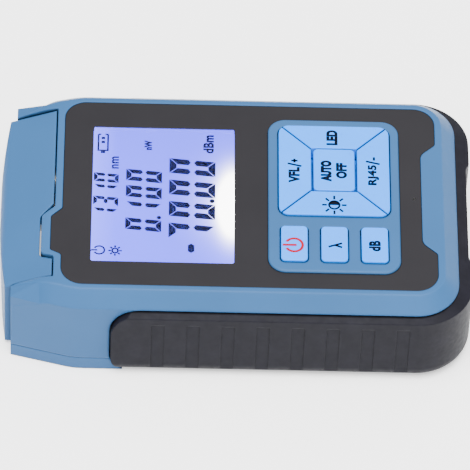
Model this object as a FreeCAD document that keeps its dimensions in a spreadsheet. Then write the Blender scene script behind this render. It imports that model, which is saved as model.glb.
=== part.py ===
"""Handheld optical power meter for fibre work, lying on its back.

Frame: +X to the device's right, +Y towards the port end, +Z out of the face.
The origin is the centre of the footprint, on the surface that the meter lies on.
Lengths are in millimetres and the driving ones are in the sheet "Sizes".
"""
import FreeCAD, Part
import math
import os

import Sketcher

# ---------------------------------------------------------------- driving sizes
SIZES = {
    # overall form
    "overall_length": 120.0,        # grip's bottom end to the crest of the dust cover
    "grip_width": 75.0,             # over the two side grips
    "body_height": 27.0,            # back to face
    "grip_proud": 1.6,              # side grip beyond the blue shell
    "grip_end_proud": 3.7,          # grip beyond the shell at the bottom end
    "grip_end_depth": 5.2,          # grip's whole thickness at the bottom end
    "grip_seat": 1.5,               # depth of the shell's seat for the grip
    "shell_corner": 11.0,
    "taper_round": 20.0,
    "inner_round": 2.0,
    "wall": 2.0,
    "skin": 2.1,                    # thickness of the front wall
    "parting_height": 4.2,          # rear shell's depth
    "parting_gap": 0.15,
    # face
    "face_slope": 3.7,              # 45 degree band around the face
    "rim": 1.5,
    "rim_bottom": 1.8,
    "seam_rim": 1.9,
    "panel_thickness": 0.6,
    "panel_sink": 0.1,
    "panel_gap": 0.12,
    "panel_corner": 5.5,
    "notch_depth": 3.8,
    "notch_half": 13.5,
    "notch_run": 5.0,
    "notch_slant": 1.5,
    "notch_round": 3.0,
    "tab_half": 7.65,
    "tab_reach": 2.8,
    "tab_slant": 1.5,
    "tab_corner": 1.0,
    # port end
    "cover_bulge": 3.4,             # cover's crest beyond the cheeks
    "cheek_length": 10.6,
    "cheek_inset": 4.1,             # cheek's end inside the shell's full half width
    "taper_length": 16.0,
    "cheek_wall": 3.4,              # thickness of a cheek at its end
    "port_corner_inset": 1.0,
    "front_fall": 4.2,              # fall of the front over the cheek's length
    "fall_start": 2.0,
    "fall_blend": 12.0,
    "seam_gap": 0.4,
    "tab_rim": 2.4,
    "tab_side_rim": 0.6,
    "tab_thickness": 3.1,
    "tab_rim_slant": 1.2,
    "tab_rim_root": 0.8,
    "tab_rim_corner": 1.6,
    "bay_floor_end": 8.2,           # rear shell's floor stops this far inside the cheek ends
    # dust cover and hinge
    "cover_wall": 1.8,
    "cover_end_wall": 3.2,
    "cover_foot_wall": 2.4,
    "cover_gap": 0.35,
    "cover_drop": 0.15,
    "cover_bow": 200.0,             # plan radius of the cover's end
    "cover_edge": 3.2,
    "cover_side_edge": 0.7,
    "cover_foot": 1.0,
    "cover_foot_round": 1.5,
    "cover_lean": 1.2,
    "cover_heel": 1.0,              # foot behind the pin's axis
    "cover_heel_height": 1.6,       # foot above the pin's axis
    "cover_web": 1.2,
    "cover_web_inset": 2.0,
    "hinge_inset": 2.4,             # pin's axis inside the cheek ends
    "hinge_height": 3.4,
    "hinge_barrel": 2.2,
    "pin_radius": 0.75,
    "pin_clearance": 0.05,
    "pin_fit": 0.02,
    "pin_seat": 2.0,                # depth of the pin's ends in the cheeks
    # display
    "display_left_margin": 7.7,
    "display_right_margin": 8.3,
    "display_top_margin": 7.35,
    "display_gap": 8.55,            # between the display and the keypad
    "window_corner": 0.6,
    "lens_thickness": 1.3,
    "lens_gap": 0.1,
    "cell_border": 1.8,
    "cell_clearance": 0.3,
    "cell_thickness": 2.0,
    "backlight_corner": 0.8,
    "part_gap": 0.1,
    # keypad
    "plinth_left_margin": 5.1,
    "plinth_right_margin": 4.8,
    "plinth_length": 33.5,
    "plinth_margin": 9.3,
    "plinth_corner": 4.5,
    "plinth_rise": 0.5,
    "plinth_bevel": 0.35,
    "dpad_margin": 2.2,
    "dpad_top_margin": 2.4,
    "dpad_corner": 3.0,
    "key_column_gap": 3.25,         # between the small keys and the direction keys
    "side_key_width": 8.425,        # left and right direction keys
    "centre_length": 10.55,
    "centre_shift": 0.15,
    "centre_gap": 0.6,
    "centre_corner": 1.2,
    "centre_flange": 1.2,
    "groove": 0.25,
    "key_gap": 0.3,
    "key_rise": 0.6,                # key tops above the plinth
    "key_edge": 0.35,
    "key_corner": 1.4,
    "small_key_width": 12.15,
    "small_key_length": 7.35,
    "small_key_margin": 2.9,
    "flange": 0.8,
    "flange_thickness": 0.8,
    "flange_gap": 0.06,
    "key_post": 2.0,
    "key_travel": 0.5,
    "key_slack": 0.12,              # spare travel at the switch and under the neighbours
    # boards and what they carry
    "board_drop": 6.8,              # board's top below the face
    "board_thickness": 1.6,
    "board_margin": 1.6,
    "board_shoulder": 9.0,
    "board_end_gap": 1.0,
    "boss_radius": 2.8,
    "boss_margin": 0.9,             # low bosses beside the grip's lip
    "boss_end_margin": 1.6,
    "boss_side_inset": 4.3,         # high bosses beside the display
    "boss_port_inset": 14.5,
    "boss_cap": 0.4,
    "screw_radius": 0.95,
    "thread_gap": 0.05,
    "screw_end_gap": 0.8,
    "drive_radius": 0.9,
    "drive_depth": 0.7,
    "screw_head": 2.0,
    "screw_head_height": 1.5,
    "screw_clearance": 0.2,
    "screw_sink": 5.0,
    "switch_side": 6.0,
    "switch_height": 1.6,
    "plunger_height": 0.4,
    "plunger_radius": 1.6,
    "light_radius": 0.4,
    "light_offset": 5.6,            # indicator above the panel's bottom edge
    "light_gap": 0.05,
    "pipe_head_height": 1.15,
    "pipe_head_rim": 0.6,
    "lamp_half": 0.8,
    "chip_height": 1.4,
    "controller_side": 10.0,
    "controller_margin": 3.6,       # beyond the battery bay's wall
    "amplifier_width": 5.0,
    "amplifier_length": 4.5,
    "amplifier_offset": 6.0,        # right of the measuring port
    "amplifier_inset": 20.0,        # from the port wall
    "tester_chip_width": 7.0,
    "tester_chip_length": 9.0,
    "tester_chip_gap": 2.9,         # behind the network jack
    "crystal_width": 4.5,
    "crystal_length": 2.0,
    "crystal_height": 1.8,
    "crystal_inset": 9.9,
    "buzzer_radius": 4.2,
    "buzzer_height": 3.5,
    "buzzer_inset": 8.4,
    # grip
    "grip_corner": 14.0,
    "grip_top_drop": 4.3,           # grip's top below the face
    "grip_bevel_width": 1.1,
    "grip_bevel_height": 3.5,
    "grip_reveal": 0.4,             # dark gap between shell and grip
    "grip_front": 28.8,             # grip's front end inside the overall length
    "grip_front_run": 11.0,         # length of its rounded front ends
    "grip_front_top": 8.0,
    "grip_front_foot": 6.0,
    "grip_foot_round": 4.2,
    "grip_lip": 4.0,
    "grip_lip_height": 2.0,
    "grip_lip_corner": 6.5,
    "grip_gap": 0.1,
    "grip_recess_half": 17.0,
    "grip_recess_depth": 0.9,
    "grip_recess_slope": 2.0,
    "grip_recess_edge": 1.0,
    "rib_first": 19.4,              # port-side groove's centre, along Y
    "rib_pitch": 8.82,
    "rib_width": 3.3,
    "rib_depth": 0.3,
    # batteries
    "cell_radius": 5.25,
    "cell_length": 44.5,
    "cell_pitch": 11.0,
    "nub_radius": 1.9,
    "nub_height": 1.2,
    "cell_door_gap": 0.3,
    "bay_clearance": 0.4,
    "bay_wall": 1.2,
    "bay_corner": 1.0,
    "bay_margin": 2.0,              # between the grip's lip and the door's recess
    "contact_thickness": 0.4,
    "contact_side": 8.5,
    "spring_length": 3.0,
    "spring_radius": 3.4,
    "spring_tip": 1.8,
    "door_thickness": 1.9,
    "door_recess": 0.2,
    "door_gap": 0.2,
    "door_ledge": 1.5,
    "door_corner": 2.0,
    "door_ridge": 0.35,
    "ridge_half": 6.0,
    "ridge_width": 0.8,
    "ridge_pitch": 1.6,
    "ridge_margin": 3.0,
    # ports
    "port_drop": 6.1,               # port axes below the board
    "ferrule_radius": 1.26,
    "ferrule_depth": 7.0,
    "spigot_sink": 0.6,             # spigots behind the port wall
    "adapter_spigot": 3.9,
    "adapter_flange": 1.2,
    "adapter_flange_radius": 5.2,
    "adapter_barrel": 4.2,
    "adapter_reach": 7.6,
    "diode_radius": 2.4,
    "diode_length": 3.5,
    "diode_flange": 0.9,
    "diode_flange_radius": 2.8,
    "sleeve_spigot": 2.4,
    "sleeve_flange": 1.0,
    "sleeve_flange_radius": 4.2,
    "sleeve_barrel": 3.3,
    "sleeve_reach": 6.6,
    "module_radius": 4.0,
    "module_length": 16.4,
    "module_tail": 1.5,
    "module_tail_radius": 2.4,
    "torch_radius": 3.0,
    "bulb_radius": 2.5,
    "bulb_length": 5.0,
    "bulb_gap": 0.2,
    "bulb_flange": 1.0,
    "bulb_flange_radius": 2.9,
    "lead_radius": 0.25,
    "lead_half_pitch": 1.27,
    "lead_length": 4.0,
    "jack_width": 16.0,
    "jack_height": 13.3,
    "jack_depth": 14.0,
    "jack_gap": 0.1,
    "jack_corner": 0.3,
    "socket_corner": 0.5,
    "contact_pitch": 1.02,
    "contact_half": 0.22,
    "contact_height": 1.0,
    "contact_setback": 2.5,
    "plug_width": 11.9,
    "plug_height": 8.2,
    "plug_depth": 12.4,
    "plug_sill": 2.3,
    "latch_width": 6.2,
    "latch_drop": 1.5,
    "plug_clearance": 0.2,
    "panel_hole_gap": 0.1,
}

RIBS = 8                # grooves in each side of the grip
CELLS = 3
CONTACTS = 8            # ways of the network jack
DOOR_RIDGES = 4
PAST = 1.0              # how far a cut runs past the surface that it opens
CLEAR = 9.0             # how far a cutting outline stands clear of the part
SUNK = 0.5              # how deep a raised form starts inside what carries it
NEAR = 0.1              # slack when an edge is picked by its place
# port places across the width, as shares of the half width between the cheeks
JACK_SHARE = -0.47
METER_SHARE = 0.1585
LASER_SHARE = 0.5423
TORCH_SHARE = 0.824

doc = FreeCAD.newDocument("OpticalPowerMeter")
sheet = doc.addObject("Spreadsheet::Sheet", "Sizes")
for row, (size_name, size_value) in enumerate(SIZES.items(), start=1):
    sheet.set(f"A{row}", size_name)
    sheet.set(f"B{row}", str(size_value))
    sheet.setAlias(f"B{row}", size_name)
doc.recompute()


class Size:
    """A length that carries its value and the sheet expression that gives it."""

    def __init__(self, value, text):
        self.value = value
        self.text = text

    def __add__(self, other):
        other = as_size(other)
        return Size(self.value + other.value, f"({self.text} + {other.text})")

    def __radd__(self, other):
        return as_size(other) + self

    def __sub__(self, other):
        other = as_size(other)
        return Size(self.value - other.value, f"({self.text} - {other.text})")

    def __rsub__(self, other):
        return as_size(other) - self

    def __mul__(self, other):
        other = as_size(other)
        return Size(self.value * other.value, f"({self.text} * {other.text})")

    def __rmul__(self, other):
        return as_size(other) * self

    def __truediv__(self, other):
        other = as_size(other)
        return Size(self.value / other.value, f"({self.text} / {other.text})")

    def __rtruediv__(self, other):
        return as_size(other) / self

    def __neg__(self):
        return Size(-self.value, f"(-1 * {self.text})")


def as_size(number):
    """A plain number as a Size."""
    if isinstance(number, Size):
        return number
    return Size(float(number), f"({float(number)})")


class Sheet:
    """Sizes by name: S.wall is the sheet's cell called wall."""

    def __getattr__(self, name):
        return Size(SIZES[name], f"Sizes.{name}")


S = Sheet()

# ---------------------------------------------------------------- modelling helpers
NODES = []


def keep(label, shape_object):
    """Name a finished sub-part and list it for export."""
    shape_object.Label = label
    NODES.append(shape_object)
    return shape_object


def bind(feature, **properties):
    """Bind properties to sheet expressions; X, Y and Z are the placement's."""
    for name, size in properties.items():
        path = f"Placement.Base.{name.lower()}" if name in ("X", "Y", "Z") else name
        feature.setExpression(path, as_size(size).text)


def new_body(label):
    """An empty PartDesign body."""
    body = doc.addObject("PartDesign::Body", label)
    body.Label = label
    return body


def new_sketch(body, name, plane="XY_Plane", offset=0):
    """An empty sketch on one of the body's origin planes, moved along its normal."""
    sketch = body.newObject("Sketcher::SketchObject", f"{body.Name}_{name}")
    support = [part for part in body.Origin.OriginFeatures if part.Role == plane][0]
    sketch.AttachmentSupport = [(support, "")]
    sketch.MapMode = "FlatFace"
    sketch.setExpression("AttachmentOffset.Base.z", as_size(offset).text)
    return sketch


def corner_tangents(before, corner, after, radius):
    """Tangent points and centre of a rounding at a corner."""
    first = (before - corner).normalize()
    second = (after - corner).normalize()
    half = first.getAngle(second) / 2
    reach = radius / math.tan(half)
    middle = (first + second).normalize()
    centre = corner + middle * (radius / math.sin(half))
    return corner + first * reach, corner + second * reach, centre


def draw(sketch, corners):
    """Draw a closed outline through (x, y) or (x, y, corner radius), bound to the sheet."""
    points = [(as_size(item[0]), as_size(item[1])) for item in corners]
    radii = [as_size(item[2]) if len(item) > 2 else None for item in corners]
    where = [FreeCAD.Vector(x.value, y.value, 0) for x, y in points]
    count = len(corners)
    starts, ends, arcs = [None] * count, [None] * count, {}
    for i in range(count):
        starts[i] = ends[i] = where[i]
        if radii[i]:
            ends[i], starts[i], centre = corner_tangents(
                where[i - 1], where[i], where[(i + 1) % count], radii[i].value)
            arcs[i] = centre
    first = sketch.GeometryCount
    lines = [Part.LineSegment(starts[i], ends[(i + 1) % count]) for i in range(count)]
    sketch.addGeometry(lines, False)
    bound = []
    for i in range(count):
        into, out = first + (i - 1) % count, first + i
        if not radii[i]:
            sketch.addConstraint(Sketcher.Constraint("Coincident", into, 2, out, 1))
            anchor = (out, 1)
        else:
            turn = (ends[i] - arcs[i]).cross(starts[i] - arcs[i]).z
            arc_first = 1 if turn > 0 else 2
            low, high = (ends[i], starts[i]) if turn > 0 else (starts[i], ends[i])
            angles = [math.atan2(*(point - arcs[i])[1::-1]) for point in (low, high)]
            circle = Part.Circle(arcs[i], FreeCAD.Vector(0, 0, 1), radii[i].value)
            curve = sketch.addGeometry(Part.ArcOfCircle(circle, *angles), False)
            dot = sketch.addGeometry(Part.Point(where[i]), True)
            anchor = (dot, 1)
            sketch.addConstraint([
                Sketcher.Constraint("Tangent", into, 2, curve, arc_first),
                Sketcher.Constraint("Tangent", out, 1, curve, 3 - arc_first),
                Sketcher.Constraint("PointOnObject", dot, 1, into),
                Sketcher.Constraint("PointOnObject", dot, 1, out)])
            number = sketch.addConstraint(Sketcher.Constraint("Radius", curve, radii[i].value))
            bound.append((number, radii[i]))
        for kind, size in zip(("DistanceX", "DistanceY"), points[i]):
            number = sketch.addConstraint(Sketcher.Constraint(kind, -1, 1, *anchor, size.value))
            bound.append((number, size))
    for number, size in bound:
        sketch.setExpression(f"Constraints[{number}]", size.text)
    return sketch


def draw_rectangle(sketch, x0, x1, y0, y1, radius=None):
    """A rectangle, with rounded corners if a radius is given."""
    corners = [(x0, y0), (x1, y0), (x1, y1), (x0, y1)]
    if radius is not None:
        corners = [corner + (radius,) for corner in corners]
    return draw(sketch, corners)


def draw_circle(sketch, x, y, radius):
    """A circle bound to the sheet."""
    x, y, radius = as_size(x), as_size(y), as_size(radius)
    centre = FreeCAD.Vector(x.value, y.value, 0)
    circle = sketch.addGeometry(Part.Circle(centre, FreeCAD.Vector(0, 0, 1), radius.value), False)
    for kind, size in (("DistanceX", x), ("DistanceY", y)):
        number = sketch.addConstraint(Sketcher.Constraint(kind, -1, 1, circle, 3, size.value))
        sketch.setExpression(f"Constraints[{number}]", size.text)
    number = sketch.addConstraint(Sketcher.Constraint("Radius", circle, radius.value))
    sketch.setExpression(f"Constraints[{number}]", radius.text)
    return sketch


def pad(body, sketch, length, reverse=False):
    """Add the sketch's outline, along its normal or against it."""
    feature = body.newObject("PartDesign::Pad", f"{sketch.Name}_pad")
    feature.Profile = sketch
    feature.Reversed = reverse
    bind(feature, Length=length)
    return feature


def pocket(body, sketch, length, along_normal=True):
    """Cut the sketch's outline out, along its normal or against it."""
    feature = body.newObject("PartDesign::Pocket", f"{sketch.Name}_pocket")
    feature.Profile = sketch
    feature.Reversed = along_normal
    bind(feature, Length=length)
    return feature


def edges_where(feature, test):
    """Names of the feature's edges that pass the test."""
    doc.recompute()
    return [f"Edge{i}" for i, edge in enumerate(feature.Shape.Edges, start=1) if test(edge)]


def fillet(body, feature, radius, test):
    """Round the edges that pass the test."""
    names = edges_where(feature, test)
    rounding = body.newObject("PartDesign::Fillet", f"{feature.Name}_fillet")
    rounding.Base = (feature, names)
    bind(rounding, Radius=radius)
    return rounding


def chamfer(body, feature, size, test, second=None):
    """Bevel the edges that pass the test."""
    names = edges_where(feature, test)
    bevel = body.newObject("PartDesign::Chamfer", f"{feature.Name}_chamfer")
    bevel.Base = (feature, names)
    bind(bevel, Size=size)
    if second is not None:
        bevel.ChamferType = "Two distances"
        bind(bevel, Size2=second)
    return bevel


def level(edge, height, slack=NEAR / 5):
    """True for an edge that lies at one height."""
    return abs(edge.BoundBox.ZMin - height) < slack and abs(edge.BoundBox.ZMax - height) < slack


def block(name, x0, x1, y0, y1, z0, z1):
    """A box between bound limits."""
    x0, y0, z0 = as_size(x0), as_size(y0), as_size(z0)
    box = doc.addObject("Part::Box", name)
    bind(box, X=x0, Y=y0, Z=z0, Length=x1 - x0, Width=y1 - y0, Height=z1 - z0)
    return box


def post(name, x, y, z0, z1, radius, tip=None):
    """An upright cylinder, or a cone if a tip radius is given."""
    z0 = as_size(z0)
    solid = doc.addObject("Part::Cylinder" if tip is None else "Part::Cone", name)
    bind(solid, X=x, Y=y, Z=z0, Height=z1 - z0)
    if tip is None:
        bind(solid, Radius=radius)
    else:
        bind(solid, Radius1=radius, Radius2=tip)
    return solid


def rod(name, x, z, y0, y1, radius, tip=None):
    """A cylinder or cone along +Y."""
    solid = post(name, x, y0, z, z + (as_size(y1) - y0), radius, tip)
    solid.Placement.Rotation = FreeCAD.Rotation(FreeCAD.Vector(1, 0, 0), -90)
    return solid


def cut(name, base, *tools):
    """The base with the tools cut away."""
    feature = doc.addObject("Part::Cut", name)
    feature.Base = base
    feature.Tool = tools[0] if len(tools) == 1 else fuse(f"{name}_tools", *tools)
    return feature


def fuse(name, *pieces):
    """Pieces joined into one solid."""
    feature = doc.addObject("Part::MultiFuse", name)
    feature.Shapes = list(pieces)
    return feature


def group(name, *pieces):
    """Separate solids kept together in one node."""
    feature = doc.addObject("Part::Compound", name)
    feature.Links = list(pieces)
    return feature


# ---------------------------------------------------------------- shared places
half_length = S.overall_length / 2
shell_half = S.grip_width / 2 - S.grip_proud
shell_bottom = -half_length + S.grip_end_proud
cheek_end = half_length - S.cover_bulge
taper_start = cheek_end - S.taper_length
seam = cheek_end - S.cheek_length
mouth_half = shell_half - S.cheek_inset - S.cheek_wall
seat_half = shell_half - S.grip_seat
seat_bottom = -half_length + S.grip_end_depth
seat_corner = S.shell_corner - S.grip_seat
grip_top = S.body_height - S.grip_top_drop
grip_front = half_length - S.grip_front
straight_end = grip_front - S.grip_front_run
cavity_half = seat_half - S.wall
cavity_bottom = seat_bottom + S.wall
cavity_corner = seat_corner - S.wall
cavity_top = S.body_height - S.skin
panel_wall = seam - S.wall

panel_half = shell_half - S.face_slope - S.rim
panel_top = seam - S.seam_rim
panel_bottom = shell_bottom + S.face_slope + S.rim_bottom
panel_floor = S.body_height - S.panel_thickness - S.panel_sink
panel_face = panel_floor + S.panel_thickness

plinth_left = S.plinth_left_margin - panel_half
plinth_right = panel_half - S.plinth_right_margin
plinth_bottom = panel_bottom + S.plinth_margin
plinth_top = plinth_bottom + S.plinth_length
plinth_face = S.body_height + S.plinth_rise
small_key_left = plinth_left + S.small_key_margin
small_key_right = small_key_left + S.small_key_width
small_key_pitch = (S.plinth_length - S.small_key_margin * 2 - S.small_key_length) / 2
dpad_left = small_key_right + S.key_column_gap
dpad_right = plinth_right - S.dpad_margin
dpad_bottom = plinth_bottom + S.dpad_margin
dpad_top = plinth_top - S.dpad_top_margin
centre_left = dpad_left + S.side_key_width + S.centre_shift
centre_right = dpad_right - S.side_key_width + S.centre_shift
centre_x = (centre_left + centre_right) / 2
centre_y = (dpad_bottom + dpad_top) / 2
centre_bottom = centre_y - S.centre_length / 2
centre_top = centre_y + S.centre_length / 2

display_left = S.display_left_margin - panel_half
display_right = panel_half - S.display_right_margin
display_top = panel_top - S.display_top_margin
display_bottom = plinth_top + S.display_gap
cell_top = panel_face - S.lens_thickness - S.part_gap

board_top = S.body_height - S.board_drop
board_foot = board_top - S.board_thickness
key_face = plinth_face + S.key_rise
flange_top = cavity_top - S.flange_gap
flange_foot = flange_top - S.flange_thickness
switch_top = board_top + S.switch_height + S.plunger_height
post_foot = switch_top + S.key_travel + S.key_slack
light_y = panel_bottom + S.light_offset

pin_y = cheek_end - S.hinge_inset
bay_floor = cheek_end - S.bay_floor_end
# battery bay
bay_half = S.cell_pitch * ((CELLS - 1) / 2) + S.cell_radius + S.bay_clearance
bay_bottom = seat_bottom + S.grip_lip + S.door_ledge + S.door_gap + S.bay_margin
bay_top = bay_bottom + S.cell_length + S.spring_length + S.contact_thickness * 2
door_top = S.door_recess + S.door_thickness
cell_z = door_top + S.cell_radius + S.cell_door_gap
bay_roof = cell_z + S.cell_radius + S.bay_clearance

# ports across the end wall; the network jack hangs under the board, behind the tab
port_z = board_foot - S.port_drop
jack_x = mouth_half * JACK_SHARE
meter_x = mouth_half * METER_SHARE
laser_x = mouth_half * LASER_SHARE
torch_x = mouth_half * TORCH_SHARE
tab_left = jack_x - S.tab_half
tab_right = jack_x + S.tab_half
jack_foot = board_foot - S.jack_height
jack_front = panel_wall - S.jack_gap

SIDES = (-1, 1)
low_boss_x = seat_half - S.grip_lip - S.boss_radius - S.boss_margin
low_boss_y = seat_bottom + S.grip_lip + S.boss_radius + S.boss_end_margin
high_boss_x = cavity_half - S.boss_side_inset
high_boss_y = panel_wall - S.boss_port_inset
SCREW_PLACES = [(side * x, y) for side in SIDES
                for x, y in ((low_boss_x, low_boss_y), (high_boss_x, high_boss_y))]


def body_outline(sketch, half, bottom, corner):
    """The casing's plan outline: rounded bottom corners and a tapered port end."""
    inset = shell_half - half
    end_half = shell_half - S.cheek_inset - inset
    right = [(half, bottom, corner), (half, taper_start, S.taper_round), (end_half, cheek_end)]
    left = [(-x, y, *radius) for x, y, *radius in reversed(right)]
    return draw(sketch, right + left)


def cavity_outline(sketch, *port_corners):
    """The hollow's plan outline: rounded bottom corners and a shoulder before the port wall."""
    right = [(cavity_half, cavity_bottom, cavity_corner),
             (cavity_half, taper_start, S.inner_round), *port_corners]
    left = [(-x, y, *radius) for x, y, *radius in reversed(right)]
    return draw(sketch, right + left)


def seat_ring(sketch, half, bottom, corner):
    """Everything outside a rounded bottom end: what the grip takes from the shells."""
    far = half + CLEAR
    return draw(sketch, [
        (far, straight_end), (half, straight_end), (half, bottom, corner),
        (-half, bottom, corner), (-half, straight_end), (-far, straight_end),
        (-far, bottom - CLEAR), (far, bottom - CLEAR)])


def cut_grip_seat(body, low, high, name):
    """Cut the grip's seat into a shell between two heights, with its D-shaped front ends."""
    pocket(body, seat_ring(new_sketch(body, f"{name}_ring", offset=low),
                           seat_half, seat_bottom, seat_corner), high - low)
    front = grip_front + S.grip_reveal
    top = grip_top + S.grip_reveal
    for side, plane_offset in ((1, seat_half), (-1, -seat_half)):
        sketch = new_sketch(body, f"{name}_front{side + 1}", "YZ_Plane", plane_offset)
        draw(sketch, [
            (straight_end - PAST, -PAST), (front, -PAST, S.grip_front_foot + PAST),
            (front, top, S.grip_front_top), (straight_end - PAST, top)])
        pocket(body, sketch, CLEAR, along_normal=(side == 1))


def panel_outline(sketch, grow):
    """The face panel: a rounded plate with a tab at the port end and a notch at the bottom."""
    half = panel_half + grow
    top, bottom = panel_top + grow, panel_bottom - grow
    tab = top + S.tab_reach
    notch = bottom + S.notch_depth
    notch_outer = S.notch_half + S.notch_run - grow
    notch_inner = S.notch_half + S.notch_slant - grow
    corner = S.panel_corner + grow
    return draw(sketch, [
        (half, bottom, corner), (half, top, corner),
        (tab_right + grow, top, S.tab_corner), (tab_right - S.tab_reach + grow, tab, S.tab_corner),
        (tab_left + S.tab_slant - grow, tab, S.tab_corner), (tab_left - grow, top, S.tab_corner),
        (-half, top, corner), (-half, bottom, corner),
        (-notch_outer, bottom, S.notch_slant), (-notch_inner, notch, S.notch_round),
        (notch_inner, notch, S.notch_round), (notch_outer, bottom, S.notch_slant)])


# ---------------------------------------------------------------- casing
def make_front_shell():
    """Deep front moulding: sloped face, keypad plinth, cheeks, bosses and port wall."""
    body = new_body("front_shell")
    foot = S.parting_height
    pad(body, body_outline(new_sketch(body, "plan", offset=foot),
                           shell_half, shell_bottom, S.shell_corner), S.body_height - foot)
    fallen = cut_front_fall(body)

    def outer_top_edge(edge):
        box = edge.BoundBox
        below = box.ZMin < S.body_height.value - S.front_fall.value - PAST
        upright = box.ZMax - box.ZMin > S.front_fall.value + PAST
        at_end = box.YMin > cheek_end.value - NEAR
        across = box.XMax - box.XMin > shell_half.value and box.YMin > 0
        return not (below or upright or at_end or across)

    chamfer(body, fallen, S.face_slope, outer_top_edge)
    cut_port_bay(body)
    hollow = new_sketch(body, "hollow", offset=foot)
    cavity_outline(hollow, (mouth_half + S.port_corner_inset, panel_wall, S.inner_round))
    pocket(body, hollow, cavity_top - foot)
    cut_grip_seat(body, foot - S.parting_gap, grip_top + S.grip_reveal, "seat")
    add_plinth(body)
    cut_face_openings(body)
    # screw bosses down to the board
    bosses = new_sketch(body, "bosses", offset=board_top)
    holes = new_sketch(body, "boss_holes", offset=board_top)
    for x, y in SCREW_PLACES:
        draw_circle(bosses, x, y, S.boss_radius)
        draw_circle(holes, x, y, S.screw_radius + S.thread_gap)
    pad(body, bosses, cavity_top - board_top + SUNK)
    pocket(body, holes, cavity_top - board_top - S.boss_cap)
    # port holes through the end wall
    ports = new_sketch(body, "ports", "XZ_Plane", -seam - PAST)
    for x, radius in ((meter_x, S.adapter_spigot), (laser_x, S.sleeve_spigot),
                      (torch_x, S.torch_radius)):
        draw_circle(ports, x, port_z, radius + S.panel_hole_gap)
    half = S.plug_width / 2 + S.plug_clearance
    draw_rectangle(ports, jack_x - half, jack_x + half,
                   jack_foot + S.plug_sill - S.latch_drop - S.plug_clearance,
                   jack_foot + S.plug_sill + S.plug_height + S.plug_clearance, S.socket_corner)
    pocket(body, ports, S.wall + PAST * 2)
    return keep("front_shell", body)


def cut_front_fall(body):
    """Let the front fall away towards the port end."""
    fall = new_sketch(body, "fall", "YZ_Plane", -shell_half - PAST)
    start = seam + S.fall_start
    end = cheek_end + S.cheek_length / 2
    drop = S.front_fall / S.cheek_length * (end - seam)
    draw(fall, [(seam - S.fall_blend, S.body_height), (start, S.body_height, S.fall_blend),
                (end, S.body_height - drop), (end, S.body_height + CLEAR),
                (seam - S.fall_blend, S.body_height + CLEAR)])
    return pocket(body, fall, shell_half * 2 + PAST * 2)


def cut_port_bay(body):
    """Open the room between the cheeks; the tab stands out over the port wall."""
    foot = S.parting_height
    tab_under = S.body_height - S.tab_thickness
    far = cheek_end + CLEAR
    bay = new_sketch(body, "bay", offset=foot)
    draw_rectangle(bay, -mouth_half, mouth_half, seam, far)
    pocket(body, bay, tab_under - foot)
    tab = new_sketch(body, "tab", offset=tab_under)
    reach = seam + S.tab_reach + S.tab_rim - S.seam_rim
    left, right = tab_left - S.tab_side_rim, tab_right + S.tab_side_rim
    draw(tab, [
        (mouth_half, seam), (mouth_half, far), (-mouth_half, far), (-mouth_half, seam),
        (left, seam, S.tab_rim_root), (left + S.tab_rim_slant, reach, S.tab_rim_corner),
        (right - S.tab_reach, reach, S.tab_rim_corner), (right, seam, S.tab_rim_root)])
    pocket(body, tab, S.body_height)


def add_plinth(body):
    """Sink the face for the panel and raise the keypad's plinth through it."""
    recess = new_sketch(body, "recess", offset=panel_floor)
    panel_outline(recess, S.panel_gap)
    draw_rectangle(recess, plinth_left, plinth_right, plinth_bottom, plinth_top, S.plinth_corner)
    pocket(body, recess, CLEAR)
    plinth = new_sketch(body, "plinth", offset=panel_floor - SUNK)
    draw_rectangle(plinth, plinth_left, plinth_right, plinth_bottom, plinth_top, S.plinth_corner)
    raised = pad(body, plinth, plinth_face - panel_floor + SUNK)
    chamfer(body, raised, S.plinth_bevel, lambda edge: level(edge, plinth_face.value))


def cut_face_openings(body):
    """Openings for the display, its glass cell, the keys and the indicator."""
    window = new_sketch(body, "window", offset=cavity_top - PAST)
    draw_rectangle(window, display_left, display_right, display_bottom, display_top,
                   S.window_corner)
    pocket(body, window, CLEAR)
    room = S.cell_border + S.cell_clearance
    cell_room = new_sketch(body, "cell_room", offset=cavity_top - PAST)
    draw_rectangle(cell_room, display_left - room, display_right + room,
                   display_bottom - room, display_top + room)
    pocket(body, cell_room, cell_top + S.part_gap - cavity_top + PAST)
    openings = new_sketch(body, "keys", offset=cavity_top - PAST)
    draw_rectangle(openings, dpad_left, dpad_right, dpad_bottom, dpad_top, S.dpad_corner)
    for x0, x1, y0, y1 in small_key_places():
        draw_rectangle(openings, x0, x1, y0, y1, S.key_corner)
    pocket(body, openings, CLEAR)
    light = new_sketch(body, "light", offset=cavity_top - PAST)
    draw_circle(light, 0, light_y, S.light_radius + S.light_gap)
    pocket(body, light, CLEAR)


def small_key_places():
    """Openings of the three keys in the left column, from the port end down."""
    places = []
    for index in range(3):
        y1 = plinth_top - S.small_key_margin - small_key_pitch * index
        places.append((small_key_left, small_key_right, y1 - S.small_key_length, y1))
    return places


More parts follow.
